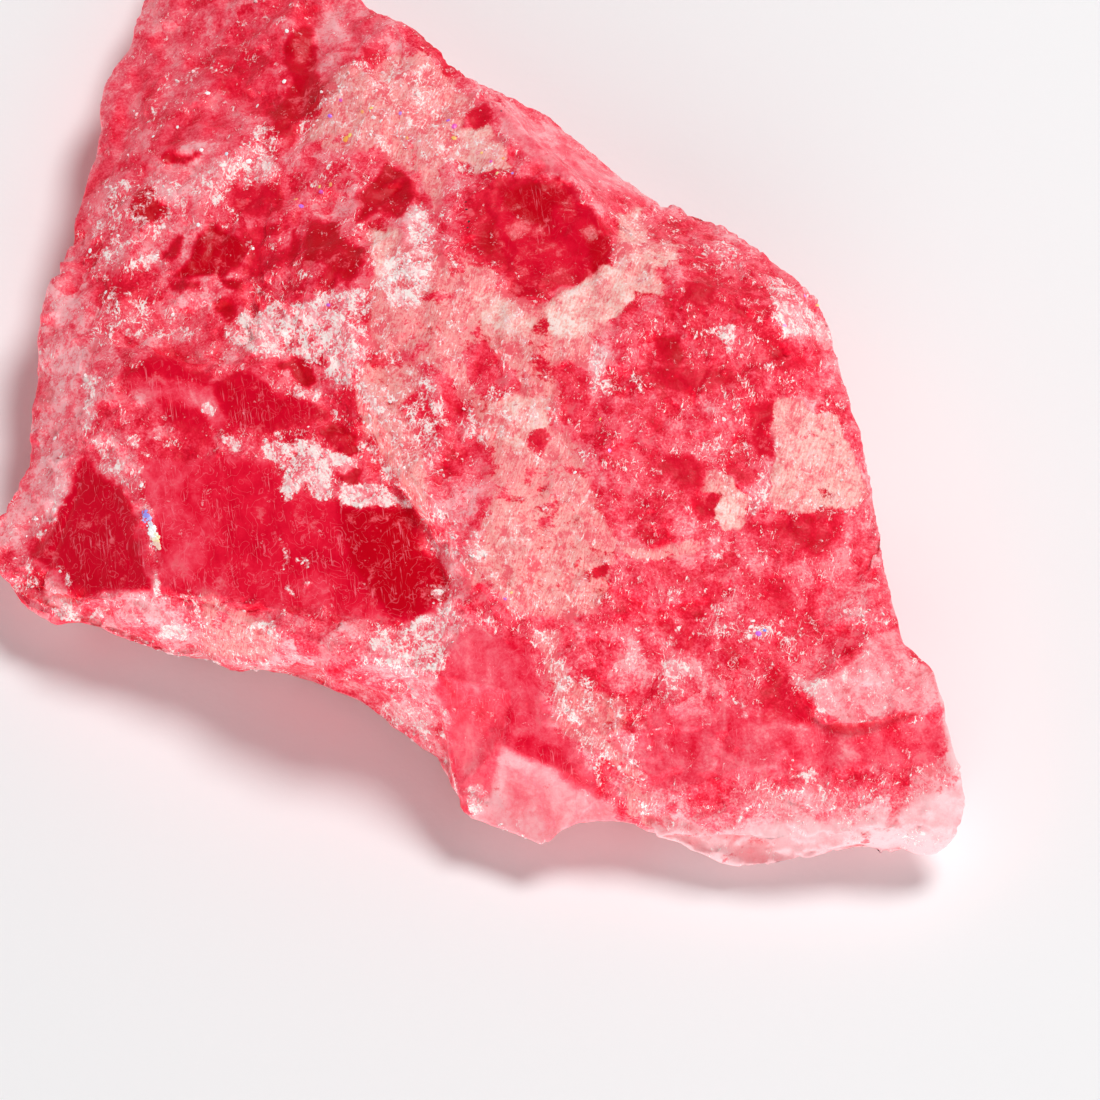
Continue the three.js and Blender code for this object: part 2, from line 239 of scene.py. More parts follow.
# %% Halve long edges
def halve_edges(points, faces, longest):
    """Cuts every edge that is longer than its faces allow in two, and its faces to suit. Returns
    the new points, faces and longest edges, and how many edges were cut."""
    sides = np.stack([faces, np.roll(faces, -1, axis=1)], axis=2)
    edges, edge_of = np.unique(np.sort(sides.reshape(-1, 2), axis=1), axis=0, return_inverse=True)
    edge_of = edge_of.reshape(-1, 3)
    allowed = np.full(len(edges), np.inf)
    for side in range(3):
        np.minimum.at(allowed, edge_of[:, side], longest)
    length = np.linalg.norm(points[edges[:, 0]] - points[edges[:, 1]], axis=1)
    cut = length > allowed
    middle_of = np.where(cut, len(points) + np.cumsum(cut) - 1, -1)
    points = np.concatenate([points, points[edges[cut]].mean(axis=1)])
    middles = middle_of[edge_of]
    cuts = (middles >= 0).sum(axis=1)

    made = [faces[cuts == 0]]
    kept = [longest[cuts == 0]]
    for count in (1, 2, 3):
        chosen = cuts == count
        # Each face is turned so that its first edge is cut, and its second too where two are.
        is_cut = middles[chosen] >= 0
        first = np.argmax(is_cut & ~np.roll(is_cut, 1, axis=1), axis=1) if count < 3 else 0
        turn = (np.arange(3) + np.reshape(first, (-1, 1))) % 3
        turn = np.broadcast_to(turn, (chosen.sum(), 3))
        a, b, c = np.take_along_axis(faces[chosen], turn, axis=1).T
        ab, bc, ca = np.take_along_axis(middles[chosen], turn, axis=1).T
        pieces = {
            1: [(a, ab, c), (ab, b, c)],
            2: [(ab, b, bc), (a, ab, bc), (a, bc, c)],
            3: [(a, ab, ca), (ab, b, bc), (ca, bc, c), (ab, bc, ca)],
        }[count]
        for piece in pieces:
            made.append(np.stack(piece, axis=1))
            kept.append(longest[chosen])
    return points, np.concatenate(made), np.concatenate(kept), int(cut.sum())


one_face = (np.eye(3), np.array([[0, 1, 2]]), np.array([1.0]))
print("a face with three long edges becomes", len(halve_edges(*one_face)[1]), "faces")

# %% Small faces on top, large ones underneath
TOP_EDGE = 0.19  # longest edge left on what is seen from above, mm
UNDER_EDGE = 0.6  # and on the underside
UNDER_LEAN = -0.05  # a face counts as underside when it leans over by more than this


def face_normals(points, faces):
    """Each face's outward direction, with its area as its length."""
    a, b, c = points[faces].transpose(1, 0, 2)
    return np.cross(b - a, c - a) / 2


facing = face_normals(points, faces)
seen = facing[:, 2] > UNDER_LEAN * np.linalg.norm(facing, axis=1)
longest = np.where(seen, TOP_EDGE, UNDER_EDGE)
edges_cut = 1
while edges_cut:
    points, faces, longest, edges_cut = halve_edges(points, faces, longest)
    print("edges cut:", edges_cut, "faces:", len(faces))

# %% [markdown]
# ## Where each finish lies
#
# The finishes of a stone follow no rule that a formula could give: a vein here, a clear window
# there. So each one is marked, as a conservator marks a drawing of a piece. The marks lie
# on a slanted sheet, held square to the line of sight: x runs to the right and y up the sheet, both
# in millimetres from the stone's own origin. A mark is laid on the stone straight along that line.
# Painting an image would be quicker, but marks stay sharp at any size and can be read and changed.
# Each is an outline with few corners, and noise bends its edge so that it looks grown.


# %% How far a point of the sheet is inside a mark
def smooth(value, low, high):
    """0 below low, 1 above high, and a soft step between."""
    share = np.clip((value - low) / (high - low), 0, 1)
    return share * share * (3 - 2 * share)


def distance_to_side(sheet, start, end):
    """How far each point is from a straight side, and where it is seen from the side's start."""
    side = end - start
    offset = sheet - start
    share = np.clip(offset @ side / (side @ side), 0, 1)
    return np.linalg.norm(offset - share[:, None] * side, axis=1), offset


def depth_inside(sheet, outline):
    """How far each point is inside a closed outline, in mm, or outside it where negative."""
    corners = np.array(outline, dtype=float)
    nearest = np.full(len(sheet), np.inf)
    inside = np.zeros(len(sheet), dtype=bool)
    for start, end in zip(corners, np.roll(corners, -1, axis=0)):
        distance, offset = distance_to_side(sheet, start, end)
        nearest = np.minimum(nearest, distance)
        # A line from a point inside, out to the right, crosses the outline an odd number of times.
        level = (start[1] > sheet[:, 1]) != (end[1] > sheet[:, 1])
        run, rise = end - start
        crossing = start[0] + offset[:, 1] * run / (rise if rise else 1e-9)
        inside ^= level & (sheet[:, 0] < crossing)
    return np.where(inside, nearest, -nearest)


def depth_in_line(sheet, route, width):
    """The same for a line of some width, drawn through a few points."""
    nearest = np.full(len(sheet), np.inf)
    route = np.array(route, dtype=float)
    for start, end in zip(route[:-1], route[1:]):
        nearest = np.minimum(nearest, distance_to_side(sheet, start, end)[0])
    return width / 2 - nearest


two_mm_square = [(-1, -1), (1, -1), (1, 1), (-1, 1)]
print("depth at a square's middle and 1 mm outside it:",
      depth_inside(np.array([(0.0, 0.0), (2.0, 0.0)]), two_mm_square))

# %% Crimson: broad zones of the body
# How dark the body is, from 0 for milky pink to 1 for the deepest red. Each mark gives the
# darkness, how soft its edge is in mm, and its outline. The broad zones come first, so that the
# small ones lie over them.
CRIMSON_MARKS = [
    (0.36, 0.5, [(1.1, 9.8), (2.0, 9.5), (3.0, 8.9), (4.0, 8.0), (5.0, 7.3), (6.1, 6.9), (6.4, 6.2),
                 (5.0, 6.9), (3.9, 6.9), (2.9, 7.5), (1.7, 8.1), (1.1, 8.9)]),
    (0.30, 0.5, [(-13.4, 4.0), (-12.5, 5.5), (-12.0, 1.0), (-12.2, -1.2), (-12.9, -3.4),
                 (-14.2, -4.9), (-15.0, -4.5), (-13.4, 0.0)]),
    (0.58, 0.3, [(5.0, 2.9), (6.0, 3.0), (7.0, 4.0), (8.0, 4.3), (9.0, 4.1), (9.8, 4.1), (9.9, 2.0),
                 (10.8, 1.8), (11.4, 0.6), (11.0, 0.0), (9.9, 0.0), (9.8, -1.9), (8.6, -1.9),
                 (7.8, -1.9), (7.7, -2.8), (8.1, -3.0), (8.1, -3.8), (5.2, -3.9), (4.4, -3.0),
                 (4.2, -1.0), (4.3, 0.6), (5.0, 1.8)]),
    (0.56, 0.5, [(4.8, -5.2), (8.0, -5.2), (13.4, -5.0), (14.0, -7.2), (11.4, -8.8), (9.4, -7.8),
                 (4.2, -7.2)]),
    (0.40, 0.5, [(11.6, -3.8), (13.1, -3.2), (14.1, -7.0), (12.5, -7.4), (11.0, -7.0),
                 (12.0, -5.0)]),
    (0.46, 0.9, [(3.2, -8.2), (5.0, -8.1), (6.0, -7.0), (7.9, -8.0), (9.0, -8.0), (10.2, -8.4),
                 (11.2, -9.8), (12.4, -10.3), (15.1, -10.1), (15.3, -10.8), (14.2, -11.7),
                 (11.0, -11.9), (9.4, -11.7), (8.4, -12.6), (6.1, -12.4), (5.9, -11.6),
                 (5.1, -11.4), (5.3, -10.2), (5.1, -9.2), (4.0, -8.9)]),
    (0.31, 1.6, [(5.0, -12.5), (8.0, -12.8), (10.0, -12.4), (12.0, -12.4), (14.0, -12.3),
                 (15.2, -11.6), (16.6, -12.6), (15.6, -14.6), (9.0, -15.6), (6.0, -14.4)]),
    # Painted light: the bottom rim here and the right edge below are marked palest, for the light
    # that comes through their thin crystal.
    (0.00, 0.8, [(5.0, -13.5), (8.0, -13.8), (10.0, -13.4), (12.0, -13.3), (14.0, -13.0),
                 (15.4, -12.2), (16.6, -12.6), (15.6, -14.6), (9.0, -15.6), (6.0, -14.4)]),
    (0.02, 0.3, [(15.0, -8.6), (15.1, -10.0), (15.4, -11.2), (15.9, -12.8), (17.0, -13.0),
                 (15.6, -8.6)]),
    (0.52, 0.25, [(-0.5, -7.3), (0.6, -7.0), (1.6, -6.8), (2.0, -7.6), (2.4, -8.6), (2.8, -9.6),
                  (3.1, -10.4), (3.5, -11.0), (4.2, -11.6), (4.2, -12.5), (3.4, -12.0),
                  (2.4, -11.4), (1.3, -11.0), (1.1, -12.2), (0.2, -13.1), (-0.3, -12.3),
                  (-0.4, -11.0), (-0.8, -9.0)]),
    (0.24, 0.40, [(1.3, -11.0), (2.6, -11.6), (4.1, -12.5), (5.0, -12.9), (5.0, -13.8),
                  (2.9, -14.4), (0.0, -13.3), (1.0, -12.2)]),
    (0.40, 0.4, [(-14.6, -5.8), (-12.6, -6.2), (-9.8, -6.2), (-7.0, -6.6), (-3.0, -7.2),
                 (-0.7, -8.8), (-0.2, -12.2), (-4.5, -9.6), (-10.0, -8.2)]),
]
print("crimson marks:", len(CRIMSON_MARKS))

# %% Crimson: the upper left
CRIMSON_MARKS += [
    (0.47, 1.2, [(-12.6, 9.8), (-9.2, 15.5), (-6.4, 15.5), (-6.6, 12.2), (-7.0, 9.0), (-9.5, 8.4),
                 (-12.4, 8.0)]),
    (0.66, 0.5, [(-8.6, 11.9), (-7.2, 11.9), (-6.4, 11.0), (-6.3, 10.3), (-7.4, 9.9),
                 (-8.4, 10.7)]),
    (0.62, 0.4, [(-10.8, 10.5), (-10.0, 10.6), (-9.8, 9.4), (-10.6, 9.2)]),
    (0.94, 0.2, [(-5.3, 12.5), (-5.8, 12.0), (-6.0, 11.2), (-5.6, 10.7), (-5.8, 10.0), (-6.3, 9.6),
                 (-6.2, 8.8), (-5.9, 8.7), (-5.7, 9.3), (-5.0, 9.4), (-4.4, 10.0), (-4.2, 10.5),
                 (-4.7, 10.5), (-4.9, 11.2), (-4.8, 11.9), (-5.0, 12.4)]),
    (0.84, 0.2, [(-5.9, 9.2), (-5.5, 9.2), (-5.4, 8.4), (-5.8, 8.1)]),
    (0.76, 0.2, [(-3.5, 11.8), (-2.9, 11.8), (-2.8, 11.0), (-3.4, 11.2)]),
    (0.78, 0.1, [(0.1, 9.6), (0.7, 9.8), (0.9, 9.3), (0.6, 8.9), (0.2, 9.1)]),
    (0.94, 0.2, [(-10.0, 8.1), (-9.6, 8.4), (-9.3, 8.1), (-8.6, 8.2), (-8.6, 8.0), (-9.2, 7.8),
                 (-9.9, 7.9)]),
    (0.96, 0.2, [(-10.8, 6.9), (-10.0, 6.9), (-10.1, 6.6), (-9.6, 6.3), (-10.2, 5.9),
                 (-10.8, 6.1)]),
    (0.90, 0.15, [(-9.7, 4.8), (-9.4, 5.3), (-9.1, 5.4), (-9.1, 5.0), (-9.6, 4.6)]),
    (1.00, 0.2, [(-8.2, 5.8), (-7.6, 5.3), (-7.1, 5.0), (-7.2, 4.4), (-7.7, 4.0), (-8.5, 4.1),
                 (-9.5, 4.0), (-9.1, 4.4), (-8.6, 5.2)]),
    (0.86, 0.15, [(-9.5, 3.8), (-8.9, 3.9), (-8.4, 3.8), (-8.6, 3.5), (-9.3, 3.6)]),
    (1.00, 0.15, [(-7.8, 4.0), (-7.0, 4.0), (-7.1, 3.7), (-7.6, 3.6)]),
    (0.94, 0.15, [(-8.0, 3.2), (-7.5, 3.3), (-7.2, 3.1), (-7.4, 2.7), (-7.9, 2.9)]),
    (0.78, 0.2, [(-7.0, 7.1), (-6.1, 7.3), (-5.9, 7.0), (-6.0, 6.2), (-6.3, 6.0), (-7.2, 6.1),
                 (-7.7, 6.6)]),
    (0.74, 0.3, [(-7.2, 5.6), (-5.9, 5.6), (-5.7, 4.4), (-6.9, 4.1)]),
    (0.90, 0.12, [(-5.7, 5.0), (-5.4, 5.6), (-5.2, 5.3), (-5.4, 4.8), (-6.0, 4.6), (-5.9, 5.0)]),
    (1.00, 0.2, [(-4.9, 5.8), (-4.0, 5.8), (-3.9, 5.2), (-3.3, 4.9), (-3.2, 4.4), (-3.6, 4.1),
                 (-4.1, 4.0), (-4.5, 4.4), (-5.2, 4.3), (-5.1, 4.9)]),
    (0.84, 0.15, [(-4.4, 4.3), (-4.0, 4.0), (-4.3, 3.4), (-4.5, 3.6)]),
]
print("crimson marks:", len(CRIMSON_MARKS))

# %% Crimson: the top, either side of the pale ridge
CRIMSON_MARKS += [
    (1.00, 0.2, [(-3.4, 6.8), (-2.9, 7.2), (-2.5, 7.9), (-2.0, 7.6), (-1.4, 7.2), (-1.5, 6.6),
                 (-1.9, 6.2), (-1.9, 5.8), (-2.6, 6.1), (-3.1, 6.0), (-3.5, 5.8), (-3.2, 6.4)]),
    (0.80, 0.15, [(1.0, 7.1), (2.0, 7.3), (2.8, 7.1), (3.2, 7.3), (3.6, 6.9), (4.2, 6.2),
                  (4.6, 5.5), (4.8, 4.8), (4.7, 4.1), (4.0, 4.0), (3.3, 3.7), (2.2, 3.4),
                  (1.5, 3.4), (1.4, 4.4), (0.6, 4.6), (0.1, 4.9), (0.0, 5.8), (0.1, 6.8)]),
    (1.00, 0.25, [(1.2, 6.9), (2.6, 7.1), (3.4, 6.9), (3.6, 6.3), (2.9, 6.3), (2.7, 5.6),
                  (1.9, 5.9), (1.4, 6.5)]),
    (0.98, 0.2, [(4.0, 5.5), (4.6, 5.3), (4.7, 4.2), (4.2, 4.1), (4.0, 4.6)]),
    (0.94, 0.2, [(0.7, 5.7), (1.1, 5.9), (1.3, 5.0), (0.9, 4.7), (0.6, 5.0)]),
]
print("crimson marks:", len(CRIMSON_MARKS))

# %% Crimson: above the clear window
CRIMSON_MARKS += [
    (0.60, 0.3, [(-10.9, 1.2), (-9.5, 1.9), (-8.0, 2.2), (-7.6, 1.2), (-8.2, 0.2), (-10.6, 0.6)]),
    (0.80, 0.2, [(-10.1, 1.4), (-9.5, 1.5), (-8.9, 1.1), (-8.4, 1.0), (-8.0, 0.7), (-8.2, 0.4),
                 (-8.8, 0.6), (-9.6, 0.8), (-10.9, 0.9)]),
    (0.84, 0.2, [(-8.0, 0.5), (-7.4, 0.9), (-6.7, 1.0), (-6.2, 0.6), (-6.0, 0.2), (-5.2, 0.0),
                 (-4.6, -0.2), (-4.2, -0.5), (-4.9, -0.8), (-5.6, -0.9), (-6.6, -0.9), (-7.2, -0.6),
                 (-7.8, -0.1)]),
    (0.96, 0.1, [(-5.9, 1.2), (-5.1, 1.3), (-4.7, 0.7), (-5.0, 0.6), (-5.4, 0.8)]),
    (0.76, 0.3, [(-9.8, 0.0), (-9.0, -0.2), (-8.4, -0.3), (-8.0, -0.8), (-8.0, -1.5), (-8.6, -1.2),
                 (-9.4, -0.8)]),
    (0.72, 0.15, [(-3.7, 3.1), (-3.3, 3.2), (-3.1, 2.5), (-3.6, 2.6)]),
    (0.70, 0.15, [(-4.9, 2.6), (-4.6, 2.5), (-4.7, 2.1), (-5.2, 2.2)]),
    (0.70, 0.15, [(-4.9, 1.6), (-4.4, 1.5), (-4.5, 1.1), (-4.9, 1.2)]),
]
print("crimson marks:", len(CRIMSON_MARKS))

# %% Crimson: the clear window, and the small clear face beside it
# The window runs from its milky left to its darkest right.
CRIMSON_MARKS += [
    (0.58, 0.9, [(-10.3, -1.6), (-9.0, -1.3), (-8.0, -1.6), (-8.0, -6.1), (-9.7, -6.1),
                 (-10.0, -4.0)]),
    (0.72, 0.9, [(-8.3, -1.8), (-6.2, -1.9), (-5.4, -2.6), (-4.9, -3.0), (-3.8, -3.2), (-3.4, -5.6),
                 (-2.0, -6.9), (-4.0, -6.7), (-5.6, -6.6), (-7.0, -6.3), (-8.2, -6.0)]),
    (0.64, 0.8, [(-6.2, -5.0), (-4.4, -5.4), (-3.4, -6.3), (-4.0, -6.9), (-6.2, -6.3)]),
    (1.00, 0.5, [(-3.9, -3.2), (-2.4, -3.3), (-1.6, -3.4), (-1.3, -4.2), (-1.1, -4.9), (-0.6, -5.2),
                 (-0.3, -5.8), (-0.5, -6.5), (-1.3, -6.9), (-2.2, -6.8), (-3.0, -6.0), (-3.6, -5.2),
                 (-3.9, -4.2)]),
    (0.92, 0.1, [(-4.6, -0.9), (-3.8, -0.7), (-3.4, -1.0), (-3.2, -1.5), (-3.5, -1.8), (-4.0, -1.7),
                 (-4.2, -1.3)]),
    (0.92, 0.1, [(-4.1, -2.4), (-3.4, -2.2), (-3.0, -2.2), (-3.1, -2.6), (-3.6, -2.7)]),
    (0.86, 0.15, [(-12.2, -1.8), (-11.6, -2.4), (-11.0, -2.7), (-10.6, -3.2), (-10.3, -4.6),
                  (-10.1, -5.4), (-9.8, -6.1), (-11.2, -6.1), (-12.0, -6.3), (-12.5, -6.2),
                  (-13.0, -5.4), (-13.9, -4.9), (-14.0, -4.7), (-13.2, -4.2), (-12.7, -3.2),
                  (-12.4, -2.6)]),
    (0.50, 0.1, [(-10.4, -2.6), (-10.0, -4.2), (-9.75, -6.1), (-9.95, -6.1), (-10.4, -4.6),
                 (-10.6, -3.2)]),
]
print("crimson marks:", len(CRIMSON_MARKS))

# %% Crimson: the red mass on the right
CRIMSON_MARKS += [
    (0.66, 0.06, [(5.35, -2.9), (6.4, -2.9), (6.45, -4.6), (5.4, -4.5)]),
    (0.84, 0.2, [(7.0, 3.8), (7.9, 4.1), (8.2, 3.2), (7.9, 3.0), (7.1, 3.2)]),
    (0.90, 0.2, [(6.2, 2.0), (6.9, 2.0), (7.0, 1.4), (6.9, 1.0), (6.4, 1.3)]),
    (0.78, 0.2, [(8.1, 3.3), (8.6, 3.1), (9.7, 2.9), (9.0, 2.6), (8.5, 2.9)]),
    (0.76, 0.2, [(10.0, 1.6), (10.6, 1.7), (10.9, 1.2), (10.5, 0.9), (10.0, 0.9)]),
    (0.80, 0.2, [(6.0, 1.0), (7.2, 1.1), (8.6, 1.0), (8.8, 0.5), (7.6, 0.2), (6.2, 0.4)]),
    (0.80, 0.15, [(9.1, -0.2), (9.9, -0.1), (9.8, -1.9), (9.3, -1.6), (9.2, -1.0)]),
    (0.80, 0.15, [(7.2, -1.8), (7.7, -2.0), (7.7, -2.8), (7.1, -2.8), (6.2, -2.2), (6.6, -1.8)]),
    (0.76, 0.1, [(7.3, -3.1), (8.1, -3.1), (8.1, -3.7), (7.4, -3.6)]),
    (0.74, 0.15, [(8.6, -2.2), (9.3, -2.1), (9.4, -2.5), (8.8, -2.7)]),
    (0.74, 0.12, [(5.6, -4.2), (6.4, -4.2), (6.9, -4.5), (6.0, -4.7)]),
    (0.74, 0.40, [(9.0, -3.9), (10.0, -3.9), (11.0, -3.7), (12.0, -3.6), (12.0, -4.3), (11.6, -5.0),
                  (11.0, -4.8), (10.0, -4.2), (9.3, -4.1)]),
    (0.70, 0.3, [(9.0, -5.4), (10.5, -5.6), (10.4, -6.9), (9.5, -6.8), (8.9, -6.0)]),
    (0.66, 0.1, [(3.1, 1.1), (3.7, 1.2), (4.0, 0.9), (4.0, 0.0), (3.9, -0.9), (3.2, -0.8),
                 (3.0, -0.1)]),
    (0.70, 0.08, [(2.2, -0.9), (2.6, -0.9), (2.9, -1.2), (2.4, -1.8), (2.1, -1.4)]),
    (0.80, 0.04, [(4.05, -5.25), (4.6, -5.25), (4.5, -5.6), (4.15, -5.55)]),
    (0.70, 0.15, [(-0.6, 0.1), (-0.2, 0.0), (0.1, -0.5), (-0.1, -0.8), (-0.6, -0.7)]),
    (0.66, 0.3, [(-1.9, -0.1), (-1.0, 0.4), (-0.6, 0.3), (-0.9, -0.8), (-1.6, -0.9)]),
    (0.96, 0.08, [(-2.1, 1.0), (-1.8, 1.0), (-1.8, 0.4), (-2.2, 0.5)]),
    (0.34, 0.6, [(11.4, 2.6), (12.6, 2.6), (14.8, -6.9), (13.4, -6.9), (13.0, -4.2), (12.8, -2.2),
                 (12.3, -0.4), (11.6, 0.6)]),
]
print("crimson marks:", len(CRIMSON_MARKS))

# %% Crimson: the toe and the lower right
CRIMSON_MARKS += [
    (0.58, 0.3, [(1.4, -9.2), (2.4, -9.3), (2.9, -10.6), (3.6, -11.4), (4.2, -11.8), (4.0, -12.4),
                 (3.0, -11.6), (2.0, -11.2), (1.4, -10.6)]),
    (0.62, 0.3, [(1.2, -7.0), (1.9, -7.3), (1.7, -7.9), (1.0, -7.8)]),
    (0.70, 0.15, [(9.9, -8.4), (10.4, -8.9), (11.3, -9.9), (11.0, -10.4), (10.2, -10.3),
                  (9.6, -10.2), (9.4, -9.4)]),
    (0.62, 0.2, [(7.9, -8.0), (8.8, -8.0), (8.9, -8.8), (8.0, -8.8)]),
    (0.50, 0.8, [(6.0, -10.0), (8.7, -10.2), (8.8, -11.3), (7.4, -11.2), (6.0, -10.9)]),
    (0.44, 0.7, [(11.6, -10.4), (13.0, -10.4), (13.6, -11.1), (12.0, -11.6), (11.3, -11.2)]),
    (0.72, 0.15, [(6.2, -6.9), (7.0, -7.0), (7.6, -7.8), (7.0, -8.0), (6.4, -7.6)]),
    (0.28, 0.12, [(10.5, -8.85), (11.2, -8.9), (12.2, -8.3), (13.0, -7.4), (14.0, -7.1),
                  (14.3, -8.0), (14.9, -8.4), (15.0, -9.9), (14.0, -9.9), (13.1, -10.0),
                  (12.3, -10.3), (11.5, -10.0), (11.0, -9.4)]),
]
print("crimson marks:", len(CRIMSON_MARKS))

# %% Cream: where the crystal gives way to a pale, salmon-coloured vein
# Each mark gives how pale it is, its soft edge in mm, and its outline.
CREAM_MARKS = [
    (0.56, 0.7, [(-3.2, 5.6), (-2.6, 6.0), (-2.0, 5.6), (-1.8, 5.0), (-1.0, 5.2), (-0.6, 4.6),
                 (0.2, 4.7), (1.2, 4.4), (1.4, 3.4), (2.4, 3.2), (3.2, 3.4), (4.2, 3.9), (5.0, 4.3),
                 (5.3, 3.6), (5.0, 2.8), (4.6, 2.2), (4.3, 1.9), (4.1, 1.0), (3.7, 1.2), (3.1, 1.1),
                 (3.0, 0.5), (3.0, -0.9), (3.4, -1.1), (3.9, -1.4), (4.0, -2.4), (4.4, -3.4),
                 (5.0, -4.6), (4.9, -6.0), (4.2, -6.9), (2.6, -6.9), (1.3, -6.6), (0.9, -6.0),
                 (0.3, -5.8), (0.1, -5.0), (0.3, -4.0), (0.8, -3.0), (0.9, -2.0), (0.5, -1.2),
                 (0.0, 0.0), (-0.4, 0.6), (-1.2, 1.0), (-1.8, 1.4), (-2.9, 1.6), (-3.1, 3.0),
                 (-3.1, 4.4)]),
    (1.00, 0.2, [(2.8, 3.2), (3.6, 3.8), (4.7, 4.4), (5.4, 4.0), (5.4, 3.1), (4.6, 2.5), (3.5, 2.0),
                 (2.7, 2.2)]),
    (0.62, 0.6, [(0.9, -3.2), (2.2, -2.6), (3.6, -3.4), (4.0, -4.6), (4.4, -6.4), (2.6, -6.6),
                 (1.2, -6.2), (0.8, -5.0)]),
    (0.95, 0.2, [(-2.9, 5.6), (-2.2, 5.5), (-2.1, 4.2), (-2.8, 4.0)]),
    (0.85, 0.15, [(0.9, -0.2), (1.6, 0.2), (2.6, 0.0), (2.8, -0.8), (2.0, -1.6), (1.2, -1.3)]),
    (0.85, 0.4, [(0.4, 3.6), (1.6, 3.2), (2.4, 2.6), (2.0, 2.0), (0.8, 2.2), (0.2, 2.8)]),
    (0.00, 0.1, [(0.2, 1.6), (0.9, 1.8), (1.4, 1.2), (1.9, 0.4), (1.2, 0.0), (0.4, 0.3),
                 (0.2, 0.9)]),
    (0.00, 0.08, [(2.2, -0.9), (2.6, -0.9), (2.9, -1.2), (2.4, -1.8), (2.1, -1.4)]),
    (0.00, 0.04, [(4.05, -5.25), (4.6, -5.25), (4.5, -5.6), (4.15, -5.55)]),
    (0.74, 0.1, [(9.9, -0.1), (10.4, 0.0), (10.9, -0.1), (11.2, -0.4), (12.0, -0.5), (12.3, -1.2),
                 (12.6, -2.0), (12.9, -2.9), (12.6, -3.5), (12.0, -3.6), (11.4, -3.5), (10.6, -3.7),
                 (10.0, -3.6), (9.8, -2.8), (9.9, -1.6), (9.85, -0.8)]),
    (0.95, 0.08, [(8.2, -3.0), (9.0, -2.9), (9.1, -3.6), (8.8, -4.0), (8.3, -4.1), (8.0, -3.8)]),
    (0.65, 0.15, [(7.9, -2.1), (8.5, -2.3), (8.9, -2.9), (8.2, -3.0), (7.6, -2.9)]),
    (0.75, 0.4, [(5.0, 6.2), (5.8, 6.4), (6.0, 5.2), (6.9, 5.1), (7.0, 4.3), (6.0, 4.1), (6.6, 3.3),
                 (5.3, 3.3), (4.9, 4.4), (4.9, 5.0)]),
    (0.75, 0.2, [(0.0, 8.9), (0.9, 9.1), (1.2, 8.4), (1.6, 7.6), (0.4, 7.4), (-0.4, 8.0),
                 (-1.0, 8.9)]),
    (0.60, 0.5, [(-4.3, 10.6), (-3.9, 11.1), (-3.0, 10.9), (-2.3, 11.6), (-1.4, 11.5), (-0.2, 10.5),
                 (0.2, 9.9), (0.0, 9.0), (-0.6, 7.4), (-0.9, 5.6), (-1.4, 7.4), (-2.6, 8.2),
                 (-4.8, 8.0), (-5.2, 8.8)]),
    (0.52, 0.4, [(2.0, -7.4), (3.2, -7.2), (3.0, -8.0), (3.4, -8.6), (4.2, -9.2), (5.1, -9.4),
                 (5.3, -10.2), (4.8, -10.8), (5.4, -11.5), (6.0, -11.8), (6.0, -12.8), (6.4, -13.7),
                 (5.2, -13.2), (5.2, -12.0), (4.4, -11.2), (3.8, -10.9), (3.3, -10.6), (2.9, -9.6),
                 (2.6, -8.2)]),
    (0.56, 0.4, [(-8.3, -6.1), (-7.2, -6.6), (-5.9, -7.0), (-5.7, -7.8), (-6.4, -8.4), (-8.2, -8.1),
                 (-8.4, -7.0)]),
    (0.60, 0.2, [(4.6, -4.4), (5.6, -4.7), (6.9, -4.6), (7.2, -4.3), (7.7, -4.4), (7.6, -5.0),
                 (5.4, -5.1)]),
    (0.62, 0.4, [(-3.0, 1.4), (-1.6, 1.2), (-1.2, 0.6), (-2.0, -0.2), (-1.4, -1.2), (-0.8, -2.4),
                 (-1.0, -4.0), (-2.0, -2.8), (-3.2, -0.8), (-3.4, 0.4)]),
]
print("cream marks:", len(CREAM_MARKS))

